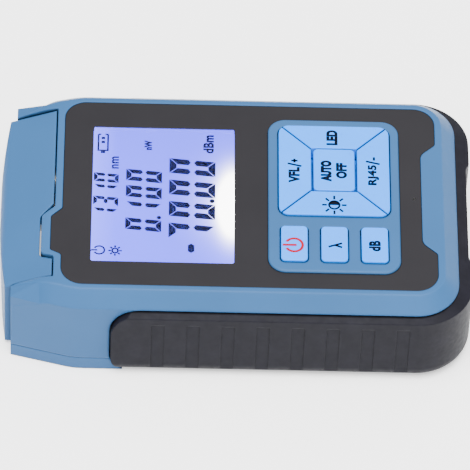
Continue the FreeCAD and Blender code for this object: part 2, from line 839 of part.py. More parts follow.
def make_rear_shell():
    """Shallow back moulding: floor, battery bay, screw bosses and hinge ends."""
    body = new_body("rear_shell")
    pad(body, body_outline(new_sketch(body, "plan"), shell_half, shell_bottom, S.shell_corner),
        S.parting_height - S.parting_gap)
    tray = new_sketch(body, "tray", offset=S.wall)
    cavity_outline(tray, (mouth_half, panel_wall, S.inner_round), (mouth_half, cheek_end + PAST))
    pocket(body, tray, S.parting_height)
    mouth = new_sketch(body, "mouth", offset=-PAST)
    draw_rectangle(mouth, -mouth_half, mouth_half, bay_floor, cheek_end + PAST)
    pocket(body, mouth, S.parting_height + PAST * 2)
    cut_grip_seat(body, as_size(-PAST), S.parting_height + PAST, "seat")
    lip = new_sketch(body, "lip", offset=-PAST)
    seat_ring(lip, seat_half - S.grip_lip, seat_bottom + S.grip_lip, S.grip_lip_corner)
    pocket(body, lip, S.grip_lip_height + PAST)
    add_battery_bay(body)
    # screw bosses up to the board, with deep sinks for the heads
    bosses = new_sketch(body, "bosses", offset=S.wall - SUNK)
    sinks = new_sketch(body, "sinks", offset=-PAST)
    holes = new_sketch(body, "screw_holes", offset=-PAST)
    for x, y in SCREW_PLACES:
        draw_circle(bosses, x, y, S.boss_radius)
        draw_circle(sinks, x, y, S.screw_head + S.screw_clearance)
        draw_circle(holes, x, y, S.screw_radius + S.screw_clearance)
    pad(body, bosses, board_foot - S.wall + SUNK)
    pocket(body, sinks, S.screw_sink + PAST)
    pocket(body, holes, S.body_height)
    pin = new_sketch(body, "pin", "YZ_Plane", -mouth_half - S.pin_seat)
    draw_circle(pin, pin_y, S.hinge_height, S.pin_radius + S.pin_fit)
    pocket(body, pin, (mouth_half + S.pin_seat) * 2)
    return keep("rear_shell", body)


def bay_rectangle(sketch, grow, radius=None):
    """The battery bay's outline, larger all round by a margin."""
    return draw_rectangle(sketch, -bay_half - grow, bay_half + grow,
                          bay_bottom - grow, bay_top + grow, radius)


def add_battery_bay(body):
    """A box on the floor, open at the back, with a rebate for the door."""
    floor = S.wall - SUNK
    box = new_sketch(body, "bay", offset=floor)
    bay_rectangle(box, S.bay_wall, S.bay_corner)
    pad(body, box, bay_roof + S.bay_wall - floor)
    room = new_sketch(body, "bay_room", offset=-PAST)
    bay_rectangle(room, as_size(0))
    pocket(body, room, bay_roof + PAST)
    rebate = S.door_ledge + S.door_gap
    frame = new_sketch(body, "door_frame", offset=floor)
    bay_rectangle(frame, rebate + S.bay_wall, S.door_corner)
    bay_rectangle(frame, as_size(0))
    pad(body, frame, S.wall)
    door = new_sketch(body, "door_room", offset=-PAST)
    bay_rectangle(door, rebate, S.door_corner + S.door_gap)
    pocket(body, door, door_top + S.door_gap / 2 + PAST)


def make_grip_boot():
    """Rubber boot round both sides and the bottom end, ribbed, with D-shaped front ends."""
    body = new_body("grip_boot")
    half = S.grip_width / 2
    front = grip_front
    plan = new_sketch(body, "plan")
    draw(plan, [(half, -half_length, S.grip_corner), (half, front), (-half, front),
                (-half, -half_length, S.grip_corner)])
    outer = pad(body, plan, grip_top)

    def outer_edge_at(height):
        return lambda edge: level(edge, height.value) and edge.BoundBox.YMin < front.value - NEAR

    bevelled = chamfer(body, outer, S.grip_bevel_width, outer_edge_at(grip_top),
                       second=S.grip_bevel_height)
    fillet(body, bevelled, S.grip_foot_round, outer_edge_at(as_size(0)))
    inside = new_sketch(body, "inside", offset=S.grip_lip_height)
    draw(inside, [(seat_half, seat_bottom, seat_corner), (seat_half, front + PAST),
                  (-seat_half, front + PAST), (-seat_half, seat_bottom, seat_corner)])
    pocket(body, inside, S.body_height)
    back = new_sketch(body, "back", offset=-PAST)
    lip = S.grip_lip - S.grip_gap
    right = [(seat_half - lip, seat_bottom + lip, S.grip_lip_corner),
             (seat_half - lip, straight_end), (seat_half, straight_end), (seat_half, front + PAST)]
    draw(back, right + [(-x, y, *radius) for x, y, *radius in reversed(right)])
    pocket(body, back, S.grip_lip_height + PAST)
    # D-shaped front ends
    start = straight_end - PAST
    ends = new_sketch(body, "front_ends", "YZ_Plane", -half - PAST)
    draw(ends, [
        (start, grip_top), (front, grip_top, S.grip_front_top), (front, 0, S.grip_front_foot),
        (start, 0), (start, -PAST), (front + CLEAR, -PAST), (front + CLEAR, grip_top + PAST),
        (start, grip_top + PAST)])
    pocket(body, ends, S.grip_width + PAST * 2)
    cut_grip_recess(body)
    cut_grip_grooves(body, half)
    return keep("grip_boot", body)


def cut_grip_recess(body):
    """Shallow recess across the middle of the bottom end."""
    dip = new_sketch(body, "dip", offset=-PAST)
    outer = S.grip_recess_half
    inner = outer - S.grip_recess_slope
    floor = S.grip_recess_depth - half_length
    right = [(outer + PAST, -half_length - PAST), (outer, -half_length, S.grip_recess_edge),
             (inner, floor, S.grip_recess_slope)]
    draw(dip, right + [(-x, y, *radius) for x, y, *radius in reversed(right)])
    pocket(body, dip, S.body_height)


def cut_grip_grooves(body, half):
    """Shallow grooves between the ribs of both sides."""
    grooves = new_sketch(body, "grooves", offset=-PAST)
    for index in range(RIBS):
        middle = S.rib_first - S.rib_pitch * index
        low, high = middle - S.rib_width / 2, middle + S.rib_width / 2
        draw_rectangle(grooves, half - S.rib_depth, half + PAST, low, high)
        draw_rectangle(grooves, -half - PAST, S.rib_depth - half, low, high)
    pocket(body, grooves, grip_top - S.grip_bevel_height + PAST)


# ---------------------------------------------------------------- face and display
def make_face_panel():
    """Thin dark panel with openings for the display and the keypad plinth."""
    body = new_body("face_panel")
    plan = panel_outline(new_sketch(body, "plan", offset=panel_floor), as_size(0))
    gap = S.panel_gap
    draw_rectangle(plan, display_left, display_right, display_bottom, display_top, S.window_corner)
    draw_rectangle(plan, plinth_left - gap, plinth_right + gap,
                   plinth_bottom - gap, plinth_top + gap, S.plinth_corner + gap)
    draw_circle(plan, 0, light_y, S.light_radius + S.light_gap)
    pad(body, plan, S.panel_thickness)
    return keep("face_panel", body)


def make_display_plate(label, grow, z0, z1, radius=None):
    """A flat plate of the display's outline, larger all round by a margin."""
    body = new_body(label)
    plan = new_sketch(body, "plan", offset=z0)
    draw_rectangle(plan, display_left - grow, display_right + grow,
                   display_bottom - grow, display_top + grow, radius)
    pad(body, plan, z1 - z0)
    return keep(label, body)


def make_display():
    """Clear window, liquid crystal cell and backlight, stacked on the board."""
    cell_foot = cell_top - S.cell_thickness
    make_display_plate("lcd_window", -S.lens_gap, panel_face - S.lens_thickness, panel_face,
                       S.window_corner - S.lens_gap)
    make_display_plate("lcd_cell", S.cell_border, cell_foot, cell_top)
    make_display_plate("lcd_backlight", S.cell_border, board_top, cell_foot, S.backlight_corner)


# ---------------------------------------------------------------- boards
def make_main_board():
    """Circuit board between the two shells' bosses."""
    body = new_body("main_board")
    plan = new_sketch(body, "plan", offset=board_foot)
    half = cavity_half - S.board_margin
    right = [(half, cavity_bottom + S.board_margin, cavity_corner - S.board_margin),
             (half, panel_wall - S.board_shoulder),
             (mouth_half - S.board_end_gap, panel_wall - S.board_end_gap)]
    draw(plan, right + [(-x, y, *radius) for x, y, *radius in reversed(right)])
    for x, y in SCREW_PLACES:
        draw_circle(plan, x, y, S.screw_radius + S.screw_clearance)
    pad(body, plan, S.board_thickness)
    return keep("main_board", body)


def chip(name, x, y0, width, length, height):
    """A flat package under the board, with its middle at x."""
    return block(name, x - width / 2, x + width / 2, y0, y0 + length, board_foot - height, board_foot)


def make_board_components():
    """Controller, amplifier, cable tester chip, crystal and buzzer under the board."""
    behind_bay = bay_top + S.bay_wall + S.controller_margin
    behind_jack = jack_front - S.jack_depth - S.tester_chip_gap
    chips = [
        chip("controller", as_size(0), behind_bay, S.controller_side, S.controller_side,
             S.chip_height),
        chip("amplifier", meter_x + S.amplifier_offset, panel_wall - S.amplifier_inset,
             S.amplifier_width, S.amplifier_length, S.chip_height),
        chip("cable_tester_chip", jack_x, behind_jack - S.tester_chip_length,
             S.tester_chip_width, S.tester_chip_length, S.chip_height),
        chip("crystal", S.crystal_inset - cavity_half, behind_bay,
             S.crystal_width, S.crystal_length, S.crystal_height),
        post("buzzer", cavity_half - S.buzzer_inset, behind_bay + S.buzzer_radius,
             board_foot - S.buzzer_height, board_foot, S.buzzer_radius),
    ]
    return keep("board_components", group("board_parts", *chips))


def key_places():
    """Middle of each key, by name."""
    places = dict(zip(("key_power", "key_wavelength", "key_db"),
                      [((x0 + x1) / 2, (y0 + y1) / 2) for x0, x1, y0, y1 in small_key_places()]))
    places["key_auto_off"] = (centre_x, centre_y)
    places["key_vfl_plus"] = (centre_x, (dpad_top + centre_top) / 2)
    places["key_rj45_minus"] = (centre_x, (dpad_bottom + centre_bottom) / 2)
    places["key_led"] = ((dpad_right + centre_right) / 2, centre_y)
    places["key_backlight"] = ((dpad_left + centre_left) / 2, centre_y)
    return places


def make_key_switches():
    """One low tact switch under each key."""
    switches = []
    side = S.switch_side / 2
    case_top = board_top + S.switch_height
    for name, (x, y) in key_places().items():
        case = block(f"{name}_switch_case", x - side, x + side, y - side, y + side,
                     board_top, case_top)
        plunger = post(f"{name}_plunger", x, y, case_top - SUNK, switch_top, S.plunger_radius)
        switches.append(fuse(f"{name}_switch", case, plunger))
    return keep("key_switches", group("switch_group", *switches))


# ---------------------------------------------------------------- keys
def round_cap(body, cap):
    """Round the edge of a key's top."""
    fillet(body, cap, S.key_edge, lambda edge: level(edge, key_face.value))


def finish_key(body, cap):
    """Round the cap's top edge and add the post that meets the switch."""
    x, y = key_places()[body.Label]
    round_cap(body, cap)
    stem = new_sketch(body, "stem", offset=post_foot)
    draw_circle(stem, x, y, S.key_post)
    pad(body, stem, flange_foot - post_foot + SUNK)
    return keep(body.Label, body)


def add_cap_and_flange(body, x0, x1, y0, y1, corner):
    """A key's cap in its opening, and the flange that holds it in."""
    gap, out = S.key_gap, S.flange
    cap_plan = new_sketch(body, "cap", offset=flange_foot)
    draw_rectangle(cap_plan, x0 + gap, x1 - gap, y0 + gap, y1 - gap, corner - gap)
    pad(body, cap_plan, key_face - flange_foot)
    flange = new_sketch(body, "flange", offset=flange_foot)
    draw_rectangle(flange, x0 - out, x1 + out, y0 - out, y1 + out, corner)
    return pad(body, flange, S.flange_thickness)


def make_small_key(label, x0, x1, y0, y1):
    """Rounded key with a flange all round, held under the plinth's opening."""
    body = new_body(label)
    joined = add_cap_and_flange(body, x0, x1, y0, y1, S.key_corner)
    return finish_key(body, joined)


def wedge(along, side):
    """Corners of one direction key's sector, bounded by the diagonal grooves."""
    reach = dpad_right - dpad_left
    edge_x = (centre_right - centre_left) / 2
    edge_y = S.centre_length / 2 + S.centre_gap
    if along == "Y":
        near = edge_x - S.groove
        corners = [(-near, edge_y), (near, edge_y), (near + reach, edge_y + reach),
                   (-near - reach, edge_y + reach)]
        return [(centre_x + x, centre_y + side * y) for x, y in corners]
    near = edge_x + S.groove
    corners = [(near, -edge_y), (near, edge_y), (near + reach, edge_y + reach),
               (near + reach, -edge_y - reach)]
    return [(centre_x + side * x, centre_y + y) for x, y in corners]


def make_direction_key(label, along, side):
    """One of the four keys round the centre key, with a flange along its outer edge."""
    body = new_body(label)
    add_cap_and_flange(body, dpad_left, dpad_right, dpad_bottom, dpad_top, S.dpad_corner)
    sector = new_sketch(body, "sector", offset=flange_foot - PAST)
    far = (dpad_right - dpad_left) * 2
    draw_rectangle(sector, centre_x - far, centre_x + far, centre_y - far, centre_y + far)
    draw(sector, wedge(along, side))
    left_over = pocket(body, sector, key_face - flange_foot + PAST * 2)
    return finish_key(body, left_over)


def make_centre_key(label):
    """Middle key; its flange lies low, under the inner ends of the four around it."""
    body = new_body(label)
    foot = flange_foot - S.key_travel - S.key_slack
    out = S.centre_flange
    cap_plan = new_sketch(body, "cap", offset=foot)
    draw_rectangle(cap_plan, centre_left, centre_right, centre_bottom, centre_top, S.centre_corner)
    pad(body, cap_plan, key_face - foot)
    flange = new_sketch(body, "flange", offset=post_foot)
    draw_rectangle(flange, centre_left - out, centre_right + out,
                   centre_bottom - out, centre_top + out)
    joined = pad(body, flange, foot - post_foot)
    round_cap(body, joined)
    return keep(label, body)


def make_keys():
    """All eight keys."""
    for label, limits in zip(("key_power", "key_wavelength", "key_db"), small_key_places()):
        make_small_key(label, *limits)
    make_direction_key("key_vfl_plus", "Y", 1)
    make_direction_key("key_rj45_minus", "Y", -1)
    make_direction_key("key_led", "X", 1)
    make_direction_key("key_backlight", "X", -1)
    make_centre_key("key_auto_off")


def make_indicator():
    """Light pipe through the face and its lamp on the board."""
    head_top = cavity_top - S.light_gap
    head_foot = head_top - S.pipe_head_height
    head = post("pipe_head", 0, light_y, head_foot, head_top, S.light_radius + S.pipe_head_rim)
    tip = post("pipe_tip", 0, light_y, head_top - SUNK, panel_face, S.light_radius)
    keep("indicator_light_pipe", fuse("pipe", head, tip))
    side = S.lamp_half
    keep("indicator_lamp", block("lamp", -side, side, light_y - side, light_y + side,
                                 board_top, head_foot - S.part_gap))


# ---------------------------------------------------------------- dust cover
def make_flip_cover():
    """Dust cover between the cheeks: sloped front, bowed end wall and hinge barrel."""
    body = new_body("flip_cover")
    half = mouth_half - S.cover_gap
    seam_edge = seam + S.seam_gap
    face = S.body_height - S.cover_drop
    fall = S.front_fall / S.cheek_length
    crest = half_length + S.cover_lean * S.cover_edge / S.body_height
    corner_z = face - fall * (crest - seam_edge)
    inner_crest = crest - S.cover_end_wall
    inner_z = corner_z + fall * S.cover_end_wall - S.cover_wall
    foot = S.cover_foot
    outer_foot = crest - S.cover_lean
    heel = pin_y - S.cover_heel
    heel_z = S.hinge_height + S.cover_heel_height
    side = new_sketch(body, "side", "YZ_Plane", -half)
    draw(side, [
        (seam_edge, face), (crest, corner_z, S.cover_edge), (outer_foot, foot, S.cover_foot_round),
        (heel, foot), (heel, heel_z), (outer_foot - S.cover_foot_wall, heel_z, S.cover_heel),
        (inner_crest, inner_z, S.cover_edge - S.cover_wall), (seam_edge, face - S.cover_wall)])
    pad(body, side, half * 2)
    barrel = new_sketch(body, "barrel", "YZ_Plane", -half)
    draw_circle(barrel, pin_y, S.hinge_height, S.hinge_barrel)
    pad(body, barrel, half * 2)
    # webs close the two sides
    web_end = inner_crest + SUNK
    web_start = seam_edge + S.cover_web_inset
    for label, start in (("left", -half), ("right", half - S.cover_web)):
        web = new_sketch(body, f"{label}_web", "YZ_Plane", start)
        draw(web, [(web_start, face - fall * S.cover_web_inset - S.cover_wall / 2),
                   (web_end, corner_z + fall * (crest - web_end) - S.cover_wall / 2),
                   (web_end, foot + S.cover_web_inset),
                   (web_end - S.cover_web, foot + S.cover_web_inset)])
        pad(body, web, S.cover_web)
    bow = new_sketch(body, "bow", offset=-PAST)
    bow_plan(bow, crest, half + PAST)
    bowed = pocket(body, bow, S.body_height + PAST * 2)
    cut_cover_notch(body, seam_edge)
    bore = new_sketch(body, "bore", "YZ_Plane", -half - PAST)
    draw_circle(bore, pin_y, S.hinge_height, S.pin_radius + S.pin_clearance)
    drilled = pocket(body, bore, (half + PAST) * 2)
    round_cover_sides(body, drilled, half, seam_edge, crest)
    return keep("flip_cover", body)


def cut_cover_notch(body, seam_edge):
    """Cut the cover away round the casing's tab."""
    notch = new_sketch(body, "notch", offset=S.body_height - S.cover_edge * 2)
    edge = S.tab_side_rim + S.seam_gap
    flare = S.tab_side_rim
    reach = seam + S.tab_reach + S.tab_rim - S.seam_rim + S.seam_gap
    left, right = tab_left - edge, tab_right + edge
    draw(notch, [
        (left - flare, seam - PAST), (left - flare, seam_edge),
        (left + S.tab_rim_slant, reach, S.tab_rim_corner),
        (right - S.tab_reach, reach, S.tab_rim_corner),
        (right + flare, seam_edge), (right + flare, seam - PAST)])
    pocket(body, notch, CLEAR)


def round_cover_sides(body, feature, half, seam_edge, crest):
    """Soften the long edges where the cover's front meets its two sides."""
    def side_edge(edge):
        box = edge.BoundBox
        on_side = abs(abs(box.XMin) - half.value) < NEAR and box.XMax - box.XMin < NEAR
        on_front = box.YMin < seam_edge.value + NEAR and box.ZMax > S.body_height.value - PAST
        return on_side and on_front and box.YMax > crest.value - CLEAR

    return fillet(body, feature, S.cover_side_edge, side_edge)


def bow_plan(sketch, crest, half):
    """Region beyond a shallow arc across the port end."""
    radius = S.cover_bow
    side_y = crest - half * half / (radius * 2)
    beyond = crest + CLEAR
    near_left = FreeCAD.Vector(-half.value, side_y.value, 0)
    near_right = FreeCAD.Vector(half.value, side_y.value, 0)
    far_left = FreeCAD.Vector(-half.value, beyond.value, 0)
    far_right = FreeCAD.Vector(half.value, beyond.value, 0)
    sketch.addGeometry([
        Part.LineSegment(near_left, far_left), Part.LineSegment(far_left, far_right),
        Part.LineSegment(far_right, near_right),
        Part.Arc(near_right, FreeCAD.Vector(0, crest.value, 0), near_left)], False)
    at_right = 1 if sketch.Geometry[3].StartPoint.x > 0 else 2
    joints = [(0, 2, 1, 1), (1, 2, 2, 1), (2, 2, 3, at_right), (3, 3 - at_right, 0, 1)]
    for first, first_end, second, second_end in joints:
        sketch.addConstraint(Sketcher.Constraint("Coincident", first, first_end, second, second_end))
    sized = [("DistanceX", 0, 2, -half), ("DistanceY", 0, 2, beyond), ("DistanceX", 1, 2, half),
             ("DistanceY", 1, 2, beyond), ("DistanceX", 0, 1, -half), ("DistanceX", 2, 2, half),
             ("DistanceX", 3, 3, as_size(0)), ("DistanceY", 3, 3, crest - radius)]
    for kind, curve, end, size in sized:
        number = sketch.addConstraint(Sketcher.Constraint(kind, -1, 1, curve, end, size.value))
        sketch.setExpression(f"Constraints[{number}]", size.text)
    number = sketch.addConstraint(Sketcher.Constraint("Radius", 3, radius.value))
    sketch.setExpression(f"Constraints[{number}]", radius.text)


def make_hinge_pin():
    """Steel pin from cheek to cheek."""
    reach = mouth_half + S.pin_seat - S.part_gap
    pin = post("pin", -reach, pin_y, S.hinge_height, S.hinge_height + reach * 2, S.pin_radius)
    pin.Placement.Rotation = FreeCAD.Rotation(FreeCAD.Vector(0, 1, 0), 90)
    return keep("hinge_pin", pin)


# ---------------------------------------------------------------- ports
def ferrule_adapter(name, x, spigot, flange, flange_radius, barrel, reach):
    """A turned adapter in the port wall, bored for a 2.5 mm ferrule."""
    mouth = seam + reach
    outer = fuse(f"{name}_outer",
                 rod(f"{name}_spigot", x, port_z, panel_wall - S.spigot_sink, seam, spigot),
                 rod(f"{name}_flange", x, port_z, seam, seam + flange, flange_radius),
                 rod(f"{name}_barrel", x, port_z, seam + flange, mouth, barrel))
    bore = rod(f"{name}_bore", x, port_z, mouth - S.ferrule_depth, mouth + PAST, S.ferrule_radius)
    return cut(name, outer, bore)


def leads(name, x, y1):
    """Two wire leads that run back from a round component."""
    y0 = y1 - S.lead_length
    return [rod(f"{name}_lead_{side + 1}", x + S.lead_half_pitch * side, port_z,
                y0, y1 + S.lead_radius, S.lead_radius) for side in SIDES]


def make_meter_port():
    """Adapter of the measuring port, with its photodiode behind."""
    keep("power_meter_adapter",
         ferrule_adapter("adapter", meter_x, S.adapter_spigot, S.adapter_flange,
                         S.adapter_flange_radius, S.adapter_barrel, S.adapter_reach))
    front = panel_wall - S.spigot_sink
    back = front - S.diode_length
    foot = back - S.diode_flange
    keep("photodiode", fuse("diode", rod("diode_can", meter_x, port_z, back, front, S.diode_radius),
                            rod("diode_foot", meter_x, port_z, foot, back, S.diode_flange_radius),
                            *leads("diode", meter_x, foot)))


def make_laser_port():
    """Sleeve of the visual fault locator, with its laser module behind."""
    keep("laser_port",
         ferrule_adapter("sleeve", laser_x, S.sleeve_spigot, S.sleeve_flange,
                         S.sleeve_flange_radius, S.sleeve_barrel, S.sleeve_reach))
    front = panel_wall - S.spigot_sink
    back = front - S.module_length
    keep("laser_module", fuse(
        "module", rod("module_barrel", laser_x, port_z, back, front, S.module_radius),
        rod("module_tail", laser_x, port_z, back - S.module_tail, back, S.module_tail_radius)))


def make_torch():
    """Clear lens in the port wall and the white lamp behind it."""
    keep("torch_lens", rod("torch_disc", torch_x, port_z, panel_wall, seam, S.torch_radius))
    front = panel_wall - S.bulb_gap
    back = front - S.bulb_length
    foot = back - S.bulb_flange
    keep("torch_led", fuse("bulb", rod("bulb_dome", torch_x, port_z, back, front, S.bulb_radius),
                           rod("bulb_foot", torch_x, port_z, foot, back, S.bulb_flange_radius),
                           *leads("bulb", torch_x, foot)))


def make_network_jack():
    """Eight-way jack, open towards the port end, and its spring contacts."""
    half = S.jack_width / 2
    low = jack_foot + S.plug_sill
    high = low + S.plug_height
    body = new_body("rj45_jack")
    plan = new_sketch(body, "face", "XZ_Plane", -jack_front)
    draw_rectangle(plan, jack_x - half, jack_x + half, jack_foot, board_foot, S.jack_corner)
    pad(body, plan, S.jack_depth)
    hollow = new_sketch(body, "socket", "XZ_Plane", -jack_front - PAST)
    side, latch = S.plug_width / 2, S.latch_width / 2
    draw(hollow, [
        (jack_x - side, low), (jack_x - latch, low), (jack_x - latch, low - S.latch_drop),
        (jack_x + latch, low - S.latch_drop), (jack_x + latch, low), (jack_x + side, low),
        (jack_x + side, high), (jack_x - side, high)])
    pocket(body, hollow, S.plug_depth + PAST)
    keep("rj45_jack", body)
    contacts = []
    for index in range(CONTACTS):
        x = jack_x + S.contact_pitch * (index - (CONTACTS - 1) / 2)
        contacts.append(block(f"contact_{index + 1}", x - S.contact_half, x + S.contact_half,
                              jack_front - S.plug_depth, jack_front - S.contact_setback,
                              high - S.contact_height, high))
    keep("rj45_contacts", group("contact_group", *contacts))


# ---------------------------------------------------------------- power
def make_battery_door():
    """Door over the battery bay, with finger ridges."""
    body = new_body("battery_door")
    plan = new_sketch(body, "plan", offset=S.door_recess)
    bay_rectangle(plan, S.door_ledge, S.door_corner)
    pad(body, plan, S.door_thickness)
    ridges = new_sketch(body, "ridges", offset=S.door_recess)
    for index in range(DOOR_RIDGES):
        y = bay_top - S.ridge_margin - S.ridge_pitch * index
        draw_rectangle(ridges, -S.ridge_half, S.ridge_half, y - S.ridge_width, y)
    pocket(body, ridges, S.door_ridge)
    return keep("battery_door", body)


def make_power():
    """Cells side by side, every second one turned round, and their contacts."""
    cells, plates, springs = [], [], []
    y0 = bay_bottom + S.contact_thickness
    y1 = bay_top - S.contact_thickness
    side = S.contact_side / 2
    for index in range(CELLS):
        x = S.cell_pitch * (index - (CELLS - 1) / 2)
        name = f"cell_{index + 1}"
        if index % 2 == 0:
            can = (y1 - S.cell_length, y1 - S.nub_height)
            nub = (y1 - S.nub_height, y1)
            spring = (y0, y0 + S.spring_length, S.spring_radius, S.spring_tip)
        else:
            can = (y0 + S.nub_height, y0 + S.cell_length)
            nub = (y0, y0 + S.nub_height)
            spring = (y1 - S.spring_length, y1, S.spring_tip, S.spring_radius)
        cells.append(fuse(name, rod(f"{name}_can", x, cell_z, *can, S.cell_radius),
                          rod(f"{name}_nub", x, cell_z, *nub, S.nub_radius)))
        springs.append(rod(f"{name}_spring", x, cell_z, *spring))
        for end, low in (("foot", bay_bottom), ("top", y1)):
            plates.append(block(f"{name}_{end}_plate", x - side, x + side, low,
                                low + S.contact_thickness, cell_z - side, cell_z + side))
    keep("batteries", group("cell_group", *cells))
    keep("battery_contacts", group("plate_group", *plates))
    keep("battery_springs", group("spring_group", *springs))


def make_screws():
    """Four case screws from the back into the front shell's bosses."""
    screws = []
    seat = S.screw_sink
    crown = seat - S.screw_head_height
    for index, (x, y) in enumerate(SCREW_PLACES):
        head = post(f"screw_head_{index}", x, y, crown, seat, S.screw_head)
        shank = post(f"screw_shank_{index}", x, y, seat - SUNK, cavity_top - S.screw_end_gap,
                     S.screw_radius)
        drive = post(f"screw_drive_{index}", x, y, crown - PAST, crown + S.drive_depth,
                     S.drive_radius)
        screws.append(cut(f"screw_{index}", fuse(f"screw_blank_{index}", head, shank), drive))
    return keep("case_screws", group("screw_group", *screws))


# ---------------------------------------------------------------- assembly
def check_and_export():
    """Stop on any failed feature or bad shape, then write one STEP file a node."""
    doc.recompute()
    failed = [item.Name for item in doc.Objects
              if "Invalid" in item.State or "Error" in item.State]
    if failed:
        raise RuntimeError(f"failed features: {failed}")
    for feature in doc.Objects:
        if feature.TypeId == "PartDesign::Pocket":
            before = feature.BaseFeature.Shape.Volume
            if not feature.Shape.Volume < before - 1e-6:
                raise RuntimeError(f"{feature.Name} cuts nothing")
    os.makedirs("parts", exist_ok=True)
    for node in NODES:
        shape = node.Shape
        if shape.isNull() or not shape.isValid() or not shape.Solids:
            raise RuntimeError(f"{node.Label} has no valid solid")
        shape.exportStep(f"parts/{node.Label}.step")
        print(f"{node.Label}: {len(shape.Solids)} solid(s), {shape.Volume:.1f} mm3")


make_front_shell()
make_rear_shell()
make_grip_boot()
make_face_panel()
make_display()
make_main_board()
make_board_components()
make_key_switches()
make_keys()
make_indicator()
make_flip_cover()
make_hinge_pin()
make_meter_port()
make_laser_port()
make_torch()
make_network_jack()
make_battery_door()
make_power()
make_screws()
check_and_export()
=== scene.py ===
"""Dresses the handheld optical power meter: finishes, display, key legends, light and camera.

The casing, grip, panel, keys and ports are the CAD solids and keep their shapes. What is
made here is what those solids don't carry: the display's segments, the printed legends,
the sloped corners of the cheeks and the coiled battery springs. Everything is in metres
in the CAD frame.
"""
import math
from contextlib import contextmanager

import bmesh
import bpy
from bpy.props import FloatProperty, FloatVectorProperty, PointerProperty
from mathutils import Euler, Matrix, Vector


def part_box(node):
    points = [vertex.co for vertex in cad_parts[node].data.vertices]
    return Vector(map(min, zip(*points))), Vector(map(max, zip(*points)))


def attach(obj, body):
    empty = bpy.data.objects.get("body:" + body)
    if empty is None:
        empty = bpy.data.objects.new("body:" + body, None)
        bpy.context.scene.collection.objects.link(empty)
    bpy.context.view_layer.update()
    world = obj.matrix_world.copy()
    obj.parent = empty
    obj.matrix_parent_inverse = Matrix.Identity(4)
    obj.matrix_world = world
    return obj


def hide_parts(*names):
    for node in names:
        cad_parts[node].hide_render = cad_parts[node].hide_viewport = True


bl_info = {
    "name": "Optical Power Meter Dressing",
    "version": (1, 0, 0),
    "blender": (4, 5, 0),
    "location": "3D View > Sidebar > Meter",
    "description": "Finishes, display and key legends of a handheld optical power meter",
    "category": "Object",
}

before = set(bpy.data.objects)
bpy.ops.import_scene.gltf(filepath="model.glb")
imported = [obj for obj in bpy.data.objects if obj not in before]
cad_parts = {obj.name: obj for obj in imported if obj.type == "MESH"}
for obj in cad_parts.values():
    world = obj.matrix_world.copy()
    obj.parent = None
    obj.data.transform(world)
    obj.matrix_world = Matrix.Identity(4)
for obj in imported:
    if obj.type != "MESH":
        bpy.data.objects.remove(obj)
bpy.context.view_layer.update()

MM = 0.001
KEY_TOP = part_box("key_led")[1].z
GLASS_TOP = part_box("lcd_cell")[1].z
INK_LIFT = 0.02 * MM  # thickness of a print, and how far segments float over their glass
FONT_STEM = 0.07  # upright strokes of the built-in font at size 1
MERGE = 1e-7  # vertices nearer than this are one
WHITE = (1.0, 1.0, 1.0)
NOISE_RANGE = (0.3, 0.7)  # where most of a noise pattern's values lie


# ---------------------------------------------------------------- values that a user would change
def colour_value(name, description, default):
    """A colour shown in the sidebar, in linear light."""
    return FloatVectorProperty(name=name, description=description, subtype="COLOR", size=3,
                               min=0.0, max=1.0, default=default)


class MeterColours(bpy.types.PropertyGroup):
    """Colours of the meter's finishes."""

    casing: colour_value("Casing", "Slate blue of the moulded shells", (0.024, 0.082, 0.195))
    grip: colour_value("Grip", "Charcoal of the rubber boot", (0.0062, 0.0060, 0.0095))
    panel: colour_value("Panel", "Dark grey of the face panel", (0.0115, 0.0108, 0.0130))
    key: colour_value("Keys", "Sky blue of the keys", (0.010, 0.245, 0.97))
    ink: colour_value("Ink", "Navy black of the legends", (0.001, 0.0025, 0.008))
    power_ink: colour_value("Power ink", "Red of the power sign", (0.27, 0.004, 0.010))
    segment: colour_value("Segments", "Dark blue of the segments", (0.0015, 0.003, 0.045))
    backlight: colour_value("Backlight", "Lavender of the lit display", (0.085, 0.09, 0.95))


class MeterSizes(bpy.types.PropertyGroup):
    """Sizes of what is printed or shown on the meter."""

    segment_gap: FloatProperty(
        name="Segment gap", description="Clear line between two segments of a digit",
        subtype="DISTANCE", unit="LENGTH", default=0.35 * MM, min=0.0)
    digit_lean: FloatProperty(
        name="Digit lean", description="How far the digits lean to the right",
        subtype="ANGLE", unit="ROTATION", default=math.radians(5.5))
    letter_stroke: FloatProperty(
        name="Letter stroke", description="Width of the upright strokes of the key legends",
        subtype="DISTANCE", unit="LENGTH", default=0.58 * MM, min=0.0)
    symbol_stroke: FloatProperty(
        name="Symbol stroke", description="Line width of the signs on the keys",
        subtype="DISTANCE", unit="LENGTH", default=0.56 * MM, min=0.0)


# ---------------------------------------------------------------- finishes
def tint(colour, factor):
    """The colour lighter or darker by a factor."""
    return tuple(min(1.0, channel * factor) for channel in colour)


